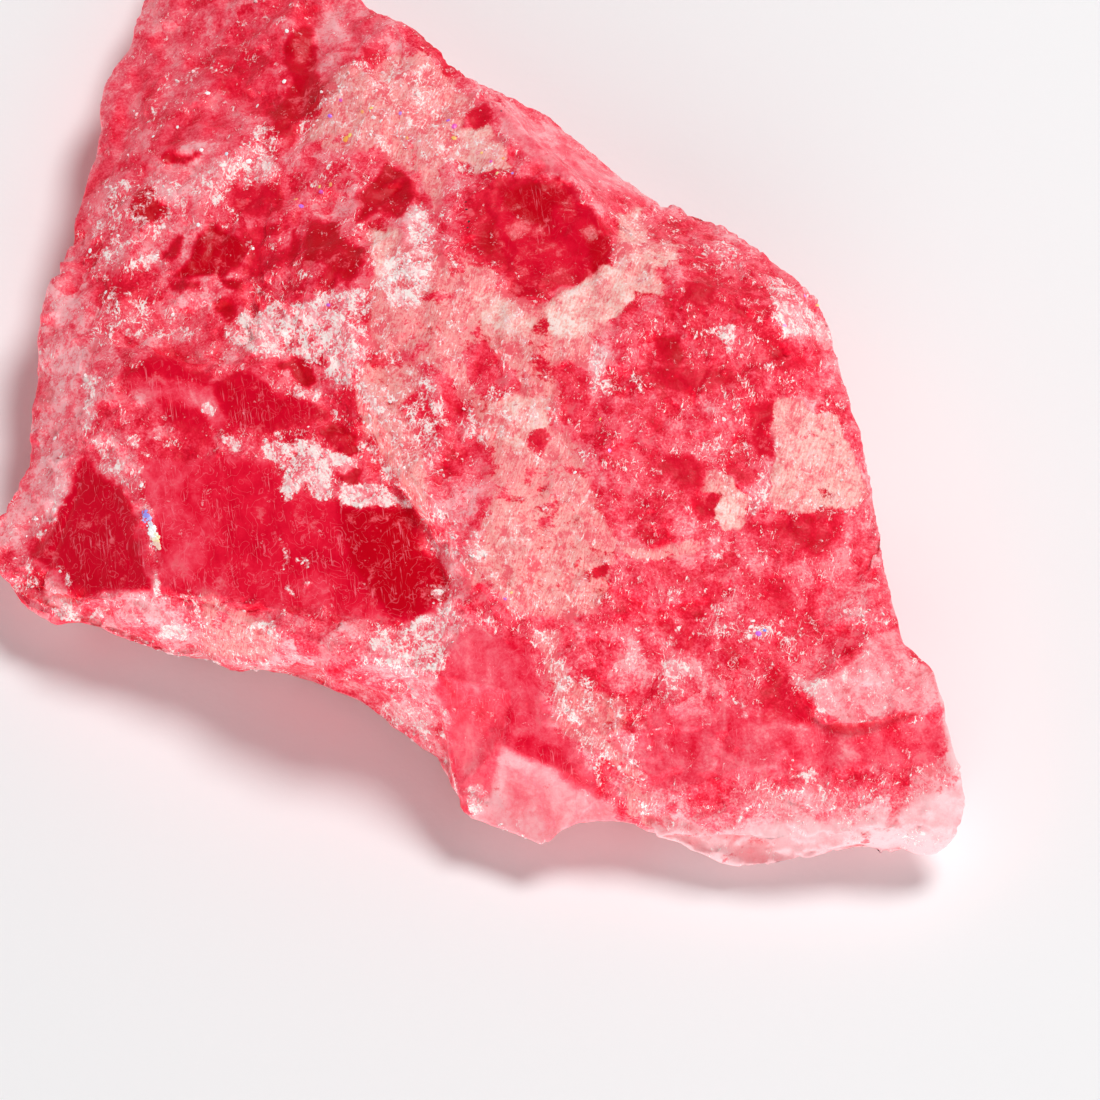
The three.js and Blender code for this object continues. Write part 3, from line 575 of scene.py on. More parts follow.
# %% Frost: the left side, the middle and the front
# This is the white crust of crushed crystal that a blow leaves. Each mark gives how thick it lies,
# its soft edge in mm, and its outline.
FROST_MARKS = [
    (0.66, 0.5, [(-8.9, 6.9), (-8.5, 7.6), (-7.2, 8.6), (-6.6, 9.4), (-6.1, 8.9), (-6.0, 7.4),
                 (-7.6, 7.0), (-8.4, 6.2)]),
    (0.50, 0.5, [(-11.6, 7.6), (-10.4, 7.6), (-9.0, 7.4), (-9.0, 6.0), (-9.6, 5.6), (-11.6, 4.6),
                 (-12.2, 5.4)]),
    (0.95, 0.2, [(-10.6, 4.9), (-9.7, 5.0), (-9.7, 4.5), (-10.3, 4.3), (-10.7, 4.5)]),
    (0.58, 0.5, [(-11.8, 3.8), (-10.8, 3.4), (-9.0, 2.9), (-8.4, 2.3), (-10.4, 2.0), (-11.8, 2.0)]),
    (0.85, 0.3, [(-7.6, 2.7), (-6.0, 3.3), (-4.9, 3.2), (-4.2, 3.6), (-3.0, 3.8), (-3.0, 1.6),
                 (-3.1, 0.4), (-4.0, 0.4), (-4.6, 1.1), (-5.6, 1.4), (-6.4, 1.3), (-7.6, 1.9)]),
    (0.70, 0.3, [(-6.3, 0.9), (-5.4, 0.7), (-4.4, 0.4), (-4.2, -0.1), (-5.2, 0.0), (-6.0, 0.4)]),
    (0.85, 0.3, [(-2.8, 4.4), (-2.2, 4.6), (-0.9, 5.4), (-0.9, 3.9), (-1.4, 3.0), (-2.9, 3.2)]),
    (0.90, 0.2, [(-1.9, 5.9), (-1.4, 6.5), (-0.9, 5.6), (-1.4, 4.8), (-1.8, 5.2)]),
    (0.46, 0.6, [(-5.6, 8.8), (-4.2, 11.0), (-2.2, 11.4), (-0.4, 10.4), (0.0, 9.0), (1.3, 8.2),
                 (1.4, 7.3), (-0.2, 7.2), (-1.0, 7.8), (-3.0, 8.1)]),
    (0.90, 0.15, [(-12.3, 1.0), (-11.7, 0.9), (-11.9, -0.9), (-12.1, -0.9)]),
    (0.70, 0.2, [(-12.0, -1.1), (-11.2, -1.1), (-10.6, -2.6), (-11.6, -2.3)]),
    (0.55, 0.2, [(-13.2, -1.2), (-12.8, -2.4), (-13.4, -3.6), (-14.4, -4.6), (-13.3, -4.3),
                 (-12.6, -3.2), (-12.8, -1.5)]),
    (0.70, 0.1, [(-13.1, -5.1), (-12.8, -5.2), (-12.3, -6.1), (-12.6, -6.1)]),
    (0.70, 0.3, [(-14.6, -5.8), (-13.8, -4.9), (-13.6, -5.8), (-14.2, -6.1)]),
    (0.95, 0.1, [(-8.4, -0.2), (-8.1, 0.0), (-7.8, -0.1), (-8.0, -0.6)]),
    (0.95, 0.1, [(-7.8, -1.2), (-7.2, -1.1), (-7.0, -1.4), (-7.3, -1.7)]),
    (0.95, 0.08, [(-9.8, -1.1), (-9.6, -1.0), (-9.5, -1.3), (-9.7, -1.3)]),
    (0.95, 0.15, [(-6.5, -1.1), (-5.3, -1.4), (-4.6, -1.2), (-4.1, -1.7), (-3.1, -1.8),
                  (-3.0, -2.1), (-4.2, -2.2), (-4.1, -3.1), (-4.8, -3.1), (-5.0, -2.6),
                  (-5.4, -3.2), (-5.8, -2.9), (-5.6, -2.2), (-6.3, -1.8)]),
    (1.00, 0.1, [(-3.9, -2.7), (-3.0, -2.6), (-2.2, -2.9), (-1.5, -3.0), (-1.6, -3.4), (-2.4, -3.3),
                 (-3.8, -3.15)]),
    (0.55, 0.5, [(-3.2, 0.6), (-2.0, 0.9), (-0.8, 0.6), (-0.6, -1.0), (-0.4, -3.0), (0.2, -5.0),
                 (-0.6, -5.1), (-1.2, -4.4), (-1.5, -3.4), (-2.4, -2.6), (-3.2, -1.6)]),
    (0.70, 0.2, [(0.1, -4.0), (0.8, -4.0), (0.8, -4.9), (0.4, -5.7), (0.1, -5.1)]),
    (0.60, 0.15, [(-1.2, -5.9), (-0.3, -5.9), (-0.2, -6.9), (-1.2, -6.7)]),
    (0.80, 0.4, [(-3.3, -7.9), (-2.6, -7.3), (-1.4, -6.9), (-0.4, -7.0), (-0.5, -8.6), (-1.0, -8.6),
                 (-1.6, -8.9), (-2.8, -8.4)]),
    (0.50, 0.3, [(-2.4, -9.0), (-1.2, -9.0), (-0.4, -11.4), (-1.4, -11.0), (-2.6, -10.2)]),
    (0.95, 0.12, [(-9.9, -7.6), (-9.3, -7.1), (-8.6, -7.2), (-8.7, -7.6)]),
    (0.85, 0.12, [(-6.8, -7.0), (-5.8, -7.0), (-5.7, -7.7), (-6.4, -7.3)]),
    (0.85, 0.15, [(-13.4, -6.3), (-12.6, -6.3), (-12.0, -7.0), (-13.0, -6.9)]),
    (0.80, 0.12, [(-12.1, -6.9), (-11.3, -6.2), (-11.0, -6.3), (-11.8, -7.0)]),
    (0.70, 0.12, [(-10.7, -6.2), (-10.1, -6.2), (-9.6, -6.5), (-10.2, -6.6)]),
    (0.55, 0.3, [(-12.0, -7.4), (-9.0, -7.9), (-5.9, -8.3), (-5.2, -8.9), (-8.2, -8.5),
                 (-11.6, -7.7)]),
]
print("frost marks:", len(FROST_MARKS))

# %% Frost: the right side, the toe and the lower right
FROST_MARKS += [
    (0.85, 0.3, [(9.8, 4.1), (10.4, 4.0), (11.2, 3.3), (11.8, 2.5), (12.0, 1.7), (11.2, 2.0),
                 (10.4, 2.0), (10.0, 2.6), (9.8, 3.2)]),
    (0.80, 0.12, [(7.7, 2.2), (8.6, 2.4), (8.9, 1.8), (8.6, 1.4), (8.3, 1.9)]),
    (0.60, 0.2, [(7.4, 4.5), (8.0, 5.2), (9.0, 5.0), (9.1, 4.2), (8.4, 4.5), (7.6, 4.2)]),
    (0.70, 0.2, [(4.1, 2.0), (4.6, 1.4), (4.7, 0.2), (4.2, 0.0), (4.1, 1.0)]),
    (0.60, 0.2, [(8.3, -1.3), (9.3, -1.3), (9.3, -1.8), (8.3, -1.9), (7.3, -1.9), (7.3, -1.5)]),
    (0.75, 0.2, [(9.0, -3.1), (9.8, -2.0), (9.9, -3.4), (9.2, -3.7)]),
    (0.75, 0.2, [(7.8, -4.4), (8.4, -4.2), (8.7, -4.6), (8.4, -4.9), (7.9, -5.3)]),
    (0.85, 0.12, [(6.2, -7.6), (6.9, -6.9), (6.7, -7.7), (6.3, -8.0)]),
    (0.80, 0.15, [(6.3, -8.1), (7.4, -8.4), (7.2, -9.0), (6.9, -9.5), (6.4, -9.3), (6.5, -8.7)]),
    (0.70, 0.12, [(7.4, -8.2), (7.7, -8.7), (7.5, -8.9)]),
    (0.90, 0.06, [(5.1, -8.1), (5.7, -7.7), (5.75, -8.2), (5.15, -8.3)]),
    (0.55, 0.3, [(7.4, -7.4), (9.2, -7.0), (10.2, -6.9), (10.2, -7.6), (8.6, -7.8)]),
    (0.75, 0.2, [(10.1, -11.3), (10.4, -11.9), (11.3, -12.0), (11.2, -11.5)]),
    (0.45, 0.4, [(9.2, -12.0), (11.8, -12.1), (13.8, -12.5), (12.0, -13.6), (10.8, -13.9),
                 (9.2, -13.0)]),
    (0.60, 0.2, [(12.1, -6.7), (12.7, -7.0), (13.8, -7.0), (13.6, -6.4), (12.9, -6.5)]),
    (0.60, 0.15, [(12.0, -4.6), (12.4, -4.7), (12.4, -5.4), (12.1, -5.1)]),
    (0.60, 0.2, [(2.1, -7.2), (3.2, -7.3), (3.0, -8.0), (2.2, -7.8)]),
    (0.50, 0.4, [(2.6, -8.0), (3.4, -8.4), (5.0, -9.6), (5.2, -10.8), (6.0, -12.0), (6.0, -13.2),
                 (5.2, -12.6), (4.6, -11.4), (3.2, -10.4)]),
    (0.85, 0.2, [(0.1, -12.3), (0.5, -12.0), (0.9, -12.7), (0.3, -13.1)]),
    (0.45, 0.3, [(10.6, -8.9), (12.2, -8.4), (13.6, -8.0), (14.6, -9.6), (12.3, -10.2),
                 (11.2, -9.6)]),
    (0.70, 0.2, [(13.8, -13.6), (14.6, -13.4), (14.4, -14.2), (13.9, -14.0)]),
    (0.70, 0.2, [(7.6, -14.3), (8.1, -14.4), (8.0, -14.7)]),
]
print("frost marks:", len(FROST_MARKS))

# %% Frost along edges and cracks
# Each line gives how thick the frost lies, the line's width in mm, and its route.
FROST_LINES = [
    (1.00, 0.24, [(-10.5, -1.0), (-10.2, -2.6), (-10.0, -4.0), (-9.85, -5.0), (-9.72, -6.1)]),
    (0.90, 0.18, [(-0.85, -8.8), (-0.5, -10.2), (-0.35, -11.4), (-0.2, -12.4)]),
    (0.90, 0.12, [(10.5, -8.85), (11.2, -9.0), (12.2, -8.4), (12.8, -8.0)]),
    (0.90, 0.12, [(10.5, -8.85), (11.0, -9.4), (11.5, -10.0), (12.3, -10.3), (13.1, -10.1),
                  (14.9, -9.9)]),
    (0.80, 0.10, [(12.15, 0.2), (12.3, -0.4), (12.4, -1.4), (12.1, -3.4)]),
    (0.90, 0.14, [(6.5, -6.1), (6.6, -6.4), (6.4, -6.8)]),
    (0.90, 0.12, [(7.7, -6.1), (7.3, -6.2), (7.25, -6.5)]),
    (0.90, 0.14, [(-5.7, -3.8), (-5.6, -4.6), (-5.5, -5.0)]),
    (0.95, 0.14, [(-5.4, -5.1), (-5.8, -5.5), (-5.6, -6.0), (-5.3, -6.3), (-4.9, -6.0),
                  (-4.8, -5.4), (-5.1, -5.1), (-5.4, -5.1)]),
    (0.85, 0.16, [(-4.1, -6.9), (-4.0, -6.2), (-4.2, -5.8)]),
    (0.90, 0.16, [(8.8, -13.1), (8.7, -13.5), (8.4, -13.6)]),
    (0.85, 0.20, [(1.0, -5.6), (1.5, -6.4), (1.9, -6.8)]),
    (0.85, 0.14, [(8.6, -9.4), (9.0, -9.5), (9.1, -10.1)]),
    (0.80, 0.14, [(0.0, 0.4), (0.2, -0.5), (0.5, -1.2), (1.0, -1.7), (1.8, -1.7), (2.0, -0.8)]),
    (0.70, 0.25, [(2.8, -8.0), (3.1, -8.6), (3.9, -9.2), (4.6, -9.6)]),
    (0.80, 0.10, [(0.1, -13.0), (1.6, -13.7), (2.8, -14.1)]),
]
print("frost lines:", len(FROST_LINES))

# %% Clear: flat cleavage faces, smooth as glass
# Each mark gives how clear the face is, its soft edge in mm, and its outline.
CLEAR_MARKS = [
    (1.00, 0.2, [(-10.2, -1.9), (-8.0, -1.8), (-6.2, -1.9), (-4.9, -3.0), (-2.4, -3.3),
                 (-1.6, -3.4), (-1.1, -4.9), (-0.4, -5.8), (-0.6, -6.9), (-3.0, -6.9), (-5.6, -6.6),
                 (-9.6, -6.1)]),
    (0.95, 0.15, [(-12.2, -2.0), (-11.0, -2.7), (-10.5, -3.4), (-9.8, -6.1), (-12.5, -6.2),
                  (-13.9, -4.9), (-12.7, -3.2)]),
    (0.75, 0.3, [(-8.0, 0.5), (-6.7, 1.0), (-4.2, -0.5), (-6.6, -0.9), (-9.4, -0.8), (-10.9, 0.9),
                 (-9.5, 1.5)]),
    (0.75, 0.2, [(1.1, 9.8), (3.0, 8.9), (5.0, 7.3), (6.4, 6.3), (5.0, 6.9), (3.4, 7.2),
                 (1.7, 8.1)]),
    (0.90, 0.2, [(-0.5, -7.6), (0.6, -7.2), (2.0, -7.8), (3.0, -10.4), (4.2, -11.8), (4.2, -12.5),
                 (5.0, -13.4), (2.9, -14.4), (0.0, -13.3), (-0.8, -9.0)]),
    (0.35, 0.2, [(10.5, -8.85), (12.2, -8.3), (13.0, -7.4), (14.0, -7.1), (15.0, -9.9),
                 (12.3, -10.3)]),
    (0.60, 0.2, [(1.2, 7.0), (3.4, 7.0), (4.6, 5.5), (4.7, 4.2), (2.2, 4.0), (1.2, 5.0)]),
    (0.60, 0.2, [(-8.2, 5.8), (-7.1, 5.0), (-7.7, 4.0), (-9.4, 4.0)]),
    (0.30, 0.8, [(-12.6, 9.4), (-9.0, 16.0), (-2.4, 16.0), (-3.0, 12.0), (-5.6, 9.6), (-8.4, 7.6),
                 (-12.6, 6.2)]),
    (0.65, 0.4, [(6.0, -9.8), (9.0, -9.6), (11.4, -10.2), (15.2, -10.2), (15.0, -11.6),
                 (11.0, -11.8), (6.1, -12.2), (5.6, -11.0)]),
]
print("clear marks:", len(CLEAR_MARKS))

# %% [markdown]
# ## Softening, then breaking
#
# The cut-up solid still shows its millimetre-long facets. A few rounds of smoothing even them out,
# with each round of pulling in followed by a slightly stronger round of pushing out, so that the
# stone keeps its size. The marks are laid next, while the surface is smooth. Then it is broken
# again at the real scale: rhodonite cleaves along flat planes, so a break is a crowd of small
# tilted flats with steps between them. A cell pattern gives each cell one random tilt. Plain noise
# would give soft hills, as on a pebble. The clear faces are left nearly flat.

# %% Even out the facets
SMOOTHING_ROUNDS = 14
PULL_IN = 0.5  # how far a point goes towards the middle of its neighbours
PUSH_OUT = -0.52  # and back

sides = np.sort(np.concatenate([faces[:, :2], faces[:, 1:], faces[:, ::2]]), axis=1)
edges = np.unique(sides, axis=0)
neighbours = np.bincount(edges.ravel(), minlength=len(points))[:, None]
for _ in range(SMOOTHING_ROUNDS):
    for share in (PULL_IN, PUSH_OUT):
        total = np.zeros_like(points)
        np.add.at(total, edges[:, 0], points[edges[:, 1]])
        np.add.at(total, edges[:, 1], points[edges[:, 0]])
        points += share * (total / neighbours - points)
print("smoothed:", len(points), "points")

# %% Lay the sheet over the stone
EDGE_BEND = 0.20  # how far noise bends a mark's edge, mm
EDGE_BEND_SIZES = (1.4, 0.5, 0.25)  # of that noise, mm
EDGE_BEND_SEED = 7  # without a seed, every run would bend the edges another way

noise.seed_set(EDGE_BEND_SEED)
sheet_up = np.array([0, math.sin(VIEW_ELEVATION), math.cos(VIEW_ELEVATION)])
sheet = np.stack([points[:, 0], points @ sheet_up], axis=1)
for size in EDGE_BEND_SIZES:  # the finer a bend is, the gentler it is
    bend = np.array([noise.noise_vector(Vector(point) / size) for point in points])
    sheet += bend[:, :2] * EDGE_BEND * (size / EDGE_BEND_SIZES[0]) ** 0.5
print("sheet, mm:", sheet.min(axis=0).round(1), "to", sheet.max(axis=0).round(1))

# %% Lay the marks on the stone
LINE_GAP = 0.5  # size of the gaps in a line of frost, mm
LINE_GAP_LEVELS = (-0.35, 0.1)  # of the noise, between a gap and full frost
BODY_DARKNESS = 0.50  # of the stone where nothing is marked
BODY_CHANGE = 0.22  # and how much it wanders
BODY_CHANGE_SIZE = 2.6  # mm
BODY_CHANGE_NOISE = (0.8, 2.1, 3)  # how fast layers fade, how much finer each is, and how many
DARK_FROM = (0.6, 0.8)  # darkness between which crystal comes to count as dark, with less crust
CRUSHED_LEAST = 0.06  # thin crust on all of the crystal that isn't dark
CRUSHED_MORE = 0.30  # and what is added to it where the noise is high
CRUSHED_FROM = (0.0, 0.8)  # values of the noise between which that comes in
VEIN_FROST = 0.16  # thin crust on the vein
FROSTED_FROM = (0.4, 0.8)  # thickness of crust between which a clear face stops being clear

gaps = np.array([noise.noise(Vector(point) / LINE_GAP) for point in points])
gaps = smooth(gaps, *LINE_GAP_LEVELS)


def lay(field, marks, lines=()):
    """Lays marks over a field in turn, each pulling it to the mark's value where it covers."""
    for value, softness, outline in marks:
        cover = smooth(depth_inside(sheet, outline), -softness / 2, softness / 2)
        field += cover * (value - field)
    for value, width, route in lines:
        cover = gaps * smooth(depth_in_line(sheet, route, width), -width / 2, width / 2)
        field += cover * (value - field)
    return field


wander = np.array([noise.fractal(Vector(point) / BODY_CHANGE_SIZE, *BODY_CHANGE_NOISE)
                   for point in points])
crimson = lay(BODY_DARKNESS + BODY_CHANGE * wander, CRIMSON_MARKS)
cream = lay(np.zeros(len(points)), CREAM_MARKS)
crushed = CRUSHED_LEAST + CRUSHED_MORE * smooth(wander, *CRUSHED_FROM)
crushed *= 1 - smooth(crimson, *DARK_FROM)
frost = lay(crushed + VEIN_FROST * cream, FROST_MARKS, FROST_LINES)
clear = lay(np.zeros(len(points)), CLEAR_MARKS)
clear *= 1 - smooth(frost, *FROSTED_FROM)
print("frosted points:", int((frost > 0.5).sum()), "clear points:", int((clear > 0.5).sum()))

# %% A surface of flat chips
CHIP_SIZES = (1.5, 0.62)  # coarse chips, and the fine ones that break their edges, mm
CHIP_SLOPES = (0.2, 0.3)  # how steep their tilts are
CHIP_SEED = 9.7  # another number gives every chip another tilt


def chips(size, slope):
    """Height of a surface of flat chips: each cell of a pattern lies on a plane of its own tilt."""
    height = np.empty(len(points))
    for index, point in enumerate(points):
        place = Vector(point) / size
        centre = noise.voronoi(place)[1][0]
        tilt = noise.cell_vector(centre * CHIP_SEED) - Vector((0.5, 0.5, 0.5))
        height[index] = (place - centre).dot(tilt)
    return height * size * slope


relief = sum(chips(size, slope) for size, slope in zip(CHIP_SIZES, CHIP_SLOPES))
print("chips, mm:", round(float(relief.min()), 2), "to", round(float(relief.max()), 2))

# %% Break the surface into chips
CLEAR_SHARE = 0.06  # of that relief on a clear face
CREAM_SHARE = 0.6  # and on the vein
RUBBLE_SIZE = 0.45  # swells under the frost, mm
RUBBLE_NOISE = (0.9, 2.2, 3)  # how fast layers fade, how much finer each is, and how many
RUBBLE_HEIGHT = 0.05  # mm
WALL_SHARE = 0.30  # of the relief on the steep sides, so that the outline stays clean
WALL_LEAN = (0.15, 0.75)  # from a wall's slope to the top's, by how far they face upwards
BASE_FADE = (0.02, 1.6)  # heights above the resting face between which the relief comes in, mm
PAINTED_HOLLOW_SHADE = 0.5  # per mm of relief: painted shade, with the hollows kept deeper red and the high points paler
HIGH_WHITER = 1.2  # per mm: and they carry more crust
DARK_SPARED = 0.7  # share of that crust which dark crystal doesn't take


def point_normals(points, faces):
    """Each point's outward direction."""
    normals = np.zeros_like(points)
    for corner in range(3):
        np.add.at(normals, faces[:, corner], face_normals(points, faces))
    return normals / np.linalg.norm(normals, axis=1)[:, None]


relief *= (1 - (1 - CLEAR_SHARE) * clear) * (1 - (1 - CREAM_SHARE) * np.clip(cream, 0, 1))
rubble = np.array([noise.fractal(Vector(point) / RUBBLE_SIZE, *RUBBLE_NOISE) for point in points])
relief += rubble * RUBBLE_HEIGHT * np.clip(frost, 0, 1)
relief *= smooth(points[:, 2], *BASE_FADE)
outward = point_normals(points, faces)
relief *= WALL_SHARE + (1 - WALL_SHARE) * smooth(outward[:, 2], *WALL_LEAN)
points += relief[:, None] * outward
points = np.clip(points, low, high)
# Painted shade: the hollows turn deeper red and the high points paler, as shade falls in a clear
# red crystal.
crimson -= PAINTED_HOLLOW_SHADE * relief
frost += HIGH_WHITER * relief * (1 - DARK_SPARED * smooth(crimson, *DARK_FROM))
print("relief, mm:", round(float(relief.min()), 2), "to", round(float(relief.max()), 2))

# %% [markdown]
# ## Light through the thin edges
#
# The thin rims of a clear stone glow, because light from behind comes through them. The renderer
# could follow that light through the stone, but in a stone so full of cracks it would take far
# longer and stay noisy. Measuring how thick the stone is towards the light says nearly the same:
# where the way out is short, much light comes through. The result is kept for each point, and the
# material turns it to a glow.

# %% Light that comes through
# From each point, rays run up through the stone. The shorter their way out, the more light gets to
# that point.
THROUGH_REACH = 2.4  # over this length the light falls to a third, mm
THROUGH_MOST = 0.42  # even the thinnest edge holds back more than half of it
SKY_ELEVATIONS = (35, 65)  # of the rays, in degrees
SKY_TURNS = (30, 65, 100)  # degrees round from the right, from the high lamp to the back
START_DEPTH = 0.02  # of a ray's start below the surface, so that it doesn't meet its own face, mm

sky = [Vector((math.cos(turn) * math.cos(rise), math.sin(turn) * math.cos(rise), math.sin(rise)))
       for rise in map(math.radians, SKY_ELEVATIONS)
       for turn in map(math.radians, SKY_TURNS)]
inside = BVHTree.FromPolygons(points.tolist(), faces.tolist())
outward = point_normals(points, faces)
through = np.zeros(len(points))
for index, (point, normal) in enumerate(zip(points, outward)):
    start = Vector(point - START_DEPTH * normal)
    for ray in sky:
        if ray.dot(normal) < 0:
            length = inside.ray_cast(start, ray)[3]
            if length:
                through[index] += math.exp(-length / THROUGH_REACH) / len(sky)
through = np.minimum(through, THROUGH_MOST)
print("light through, most:", round(float(through.max()), 2),
      "mean:", round(float(through.mean()), 3))

# %% Make the stone a mesh that carries the finishes and the painted glow
stone_mesh = bpy.data.meshes.new("stone")
stone_mesh.from_pydata(points * MM, [], faces)
stone_mesh.validate()
stone_mesh.shade_smooth()
finishes_and_glow = {"crimson": crimson, "cream": cream, "frost": frost, "clear": clear, "through": through}
for name, field in finishes_and_glow.items():
    attribute = stone_mesh.attributes.new(name, "FLOAT", "POINT")
    attribute.data.foreach_set("value", field.astype(np.float32))
stone_object = bpy.data.objects.new("stone", stone_mesh)
bpy.context.scene.collection.objects.link(stone_object)
print("stone:", len(stone_mesh.polygons), "triangles")

# %% [markdown]
# ## The stone's one material
#
# All of it is the same crystal, so one material serves, and the fields choose its finish. Rhodonite
# bends light strongly (IOR about 1.73), so a clear face shines. Light that enters it wanders about
# and comes out red. Subsurface scattering would follow that light, but in so cracked a crystal it
# travels a tenth of a millimetre or two, which only blurs the grain and doubles the render's time.
# So the colours themselves hold the red that comes back. Real transmission would be right for the
# clear faces alone, and slow and noisy everywhere else.

# %% Colours of the crystal
CRYSTAL_TONES = [  # from milky pink to the deepest red, by the darkness that the marks give
    (0.00, "#FFC6CA"), (0.17, "#FFB0B6"), (0.30, "#FD8690"), (0.41, "#FA5E70"),
    (0.54, "#F53C54"), (0.68, "#EA1636"), (0.82, "#DA0429"), (1.00, "#C40017"),
]
VEIN_TONES = [
    (0.26, "#F05C68"), (0.38, "#F78A8C"), (0.49, "#FBACA6"), (0.60, "#FDCCC2"), (0.74, "#FFEDE6"),
]
VEIL_COLOUR = "#FFB2BA"  # thin crust that the red still shows through
FROST_TONES = [(0.36, "#FFA8B0"), (0.48, "#FFD4D4"), (0.60, "#FFF4EF")]
CRACK_COLOUR = "#FF8496"  # fine cracks inside a clear face


def fill_ramp(node, stops):
    """Gives a colour ramp its stops."""
    ramp = node.color_ramp
    while len(ramp.elements) > 1:
        ramp.elements.remove(ramp.elements[-1])
    ramp.elements[0].position = stops[0][0]
    ramp.elements[0].color = linear(stops[0][1])
    for position, colour in stops[1:]:
        ramp.elements.new(position).color = linear(colour)


print("tones of body, vein and frost:", len(CRYSTAL_TONES), len(VEIN_TONES), len(FROST_TONES))

# %% [markdown]
# ## Grain, at its real sizes
#
# The real crystal is uneven at every size, from milky clouds a millimetre across down to single
# crushed grains. One noise with many layers could draw them all, but then a cloud could never turn
# the body dark while a grain breaks the edge of the crust. So each is a noise of its own, with a
# real width, length and lean, and the steps after it choose which ones they need.

# %% Grain of the crystal
# Each grain gives its width and its length up the stone in mm, how far it leans in radians, how
# many finer layers it holds, and how much it is bent.
GRAINS = {
    "speck": (0.08, 0.08, 0.0, 2.0, 0.0),  # crushed grains, drawn coarser than the real 0.02
    "fleck": (0.42, 0.42, 0.0, 5.0, 0.0),  # ragged flecks of the crust
    "cloud": (1.0, 1.0, 0.0, 5.0, 0.4),  # milky clouds in the body
    "fibre": (0.20, 0.55, 0.45, 4.0, 1.2),  # fibres of the vein
    "wisp": (0.14, 0.60, -0.30, 3.0, 2.4),  # white wisps between crystals
    "crinkle": (0.50, 0.62, 0.30, 1.6, 1.3),  # long folds in the crushed skin
    "scratch": (0.085, 1.7, 0.14, 2.0, 1.9),  # fine, wavy upright cracks in a clear face
    "haze": (0.9, 1.8, 0.25, 3.0, 1.0),  # milky haze in a clear face
}
GRAIN_ROUGHNESS = 0.62  # how strong the finer layers are

# Red, half clear crystal: deep and glossy on its clean faces, pink where it is cracked, white on
# its breaks.
crystal = bpy.data.materials.new("rough_rhodonite")
crystal.use_nodes = True
tree = crystal.node_tree
shader = tree.nodes["Principled BSDF"]
place = add_node(tree, "ShaderNodeTexCoord").outputs["Object"]
marked = {
    name: add_node(tree, "ShaderNodeAttribute", {"attribute_name": name}).outputs["Fac"]
    for name in finishes_and_glow
}
drawn = {}
for name, (width, length, lean, layers, bent) in GRAINS.items():
    stretched = add_node(tree, "ShaderNodeMapping", {"vector_type": "TEXTURE"}, Vector=place,
                         Rotation=(0.0, 0.0, lean), Scale=(width * MM, length * MM, length * MM))
    drawn[name] = add_node(tree, "ShaderNodeTexNoise", Vector=stretched.outputs["Vector"],
                           Scale=1.0, Detail=layers, Roughness=GRAIN_ROUGHNESS,
                           Distortion=bent).outputs["Fac"]
print("grains:", ", ".join(drawn))

# %% Blocks and splinters
BLOCK = 0.95  # mm across a block of crystal, each a little lighter or darker than the next
SPLINTER = 0.40  # mm across a splinter, whose white edges make the crust's web
JAG = 0.4  # mm between the teeth on the blocks' and splinters' edges
JAG_DEPTH = 0.5  # mm
JAG_LAYERS = 3.0  # of finer teeth

teeth = add_node(tree, "ShaderNodeTexNoise", Vector=place, Scale=1 / (JAG * MM), Detail=JAG_LAYERS)
jagged = add_node(tree, "ShaderNodeVectorMath", {"operation": "MULTIPLY_ADD"},
                  in0=teeth.outputs["Color"], in1=[JAG_DEPTH * MM] * 3, in2=place).outputs["Vector"]
drawn["block"] = add_node(tree, "ShaderNodeTexVoronoi", Vector=jagged,
                          Scale=1 / (BLOCK * MM)).outputs["Color"]
splinter_edge = add_node(tree, "ShaderNodeTexVoronoi", {"feature": "DISTANCE_TO_EDGE"},
                         Vector=jagged, Scale=1 / (SPLINTER * MM)).outputs["Distance"]
# A noise lies around 0.5. Each grain is that noise from -1 to 1, so that it can add or take away.
grain = {
    name: add_node(tree, "ShaderNodeMath", {"operation": "MULTIPLY_ADD"}, in0=noise_value, in1=2.0,
                   in2=-1.0).outputs[0]
    for name, noise_value in drawn.items()
}
print("grains with blocks:", len(grain))

# %% [markdown]
# ## The red body and the pale vein
#
# The marks say how dark the crystal is at each point, and the grain adds to that or takes away. A
# colour ramp then turns darkness to colour, from milky pink to deep red. A few mixed colours would
# also do, but a ramp keeps every tone in one list, in order. The vein is made in the same way from
# grain of its own, and the same grain frays its edge.

# %% How dark the body is
BODY_MOVES = {"cloud": 0.38, "haze": 0.28}  # how far each moves the darkness of the body
SURFACE_MOVES = {"block": 0.16, "fleck": 0.50, "speck": 0.38}  # and at the broken surface
CLEAR_GRAIN = 0.2  # share of the surface's grain that is left on clear faces
CALM_SHARE = 0.36  # share of all grain in the dark crystals, which are clearer than the rest
CALM_FROM = (0.58, 0.85)  # darkness between which that comes in
PALE_SHARE = 0.40  # and in the milky parts, which are more even too
PALE_FROM = (0.40, 0.10)

calm_share = add_node(tree, "ShaderNodeMapRange", Value=marked["crimson"], From_Min=CALM_FROM[0],
                      From_Max=CALM_FROM[1], To_Min=1.0, To_Max=CALM_SHARE).outputs["Result"]
pale_share = add_node(tree, "ShaderNodeMapRange", Value=marked["crimson"], From_Min=PALE_FROM[0],
                      From_Max=PALE_FROM[1], To_Min=1.0, To_Max=PALE_SHARE).outputs["Result"]
rough_share = add_node(tree, "ShaderNodeMapRange", Value=marked["clear"], To_Min=1.0,
                       To_Max=CLEAR_GRAIN).outputs["Result"]
surface = 0.0
for name, reach in SURFACE_MOVES.items():
    surface = add_node(tree, "ShaderNodeMath", {"operation": "MULTIPLY_ADD"}, in0=grain[name],
                       in1=reach, in2=surface).outputs[0]
within = 0.0
for name, reach in BODY_MOVES.items():
    within = add_node(tree, "ShaderNodeMath", {"operation": "MULTIPLY_ADD"}, in0=grain[name],
                      in1=reach, in2=within).outputs[0]
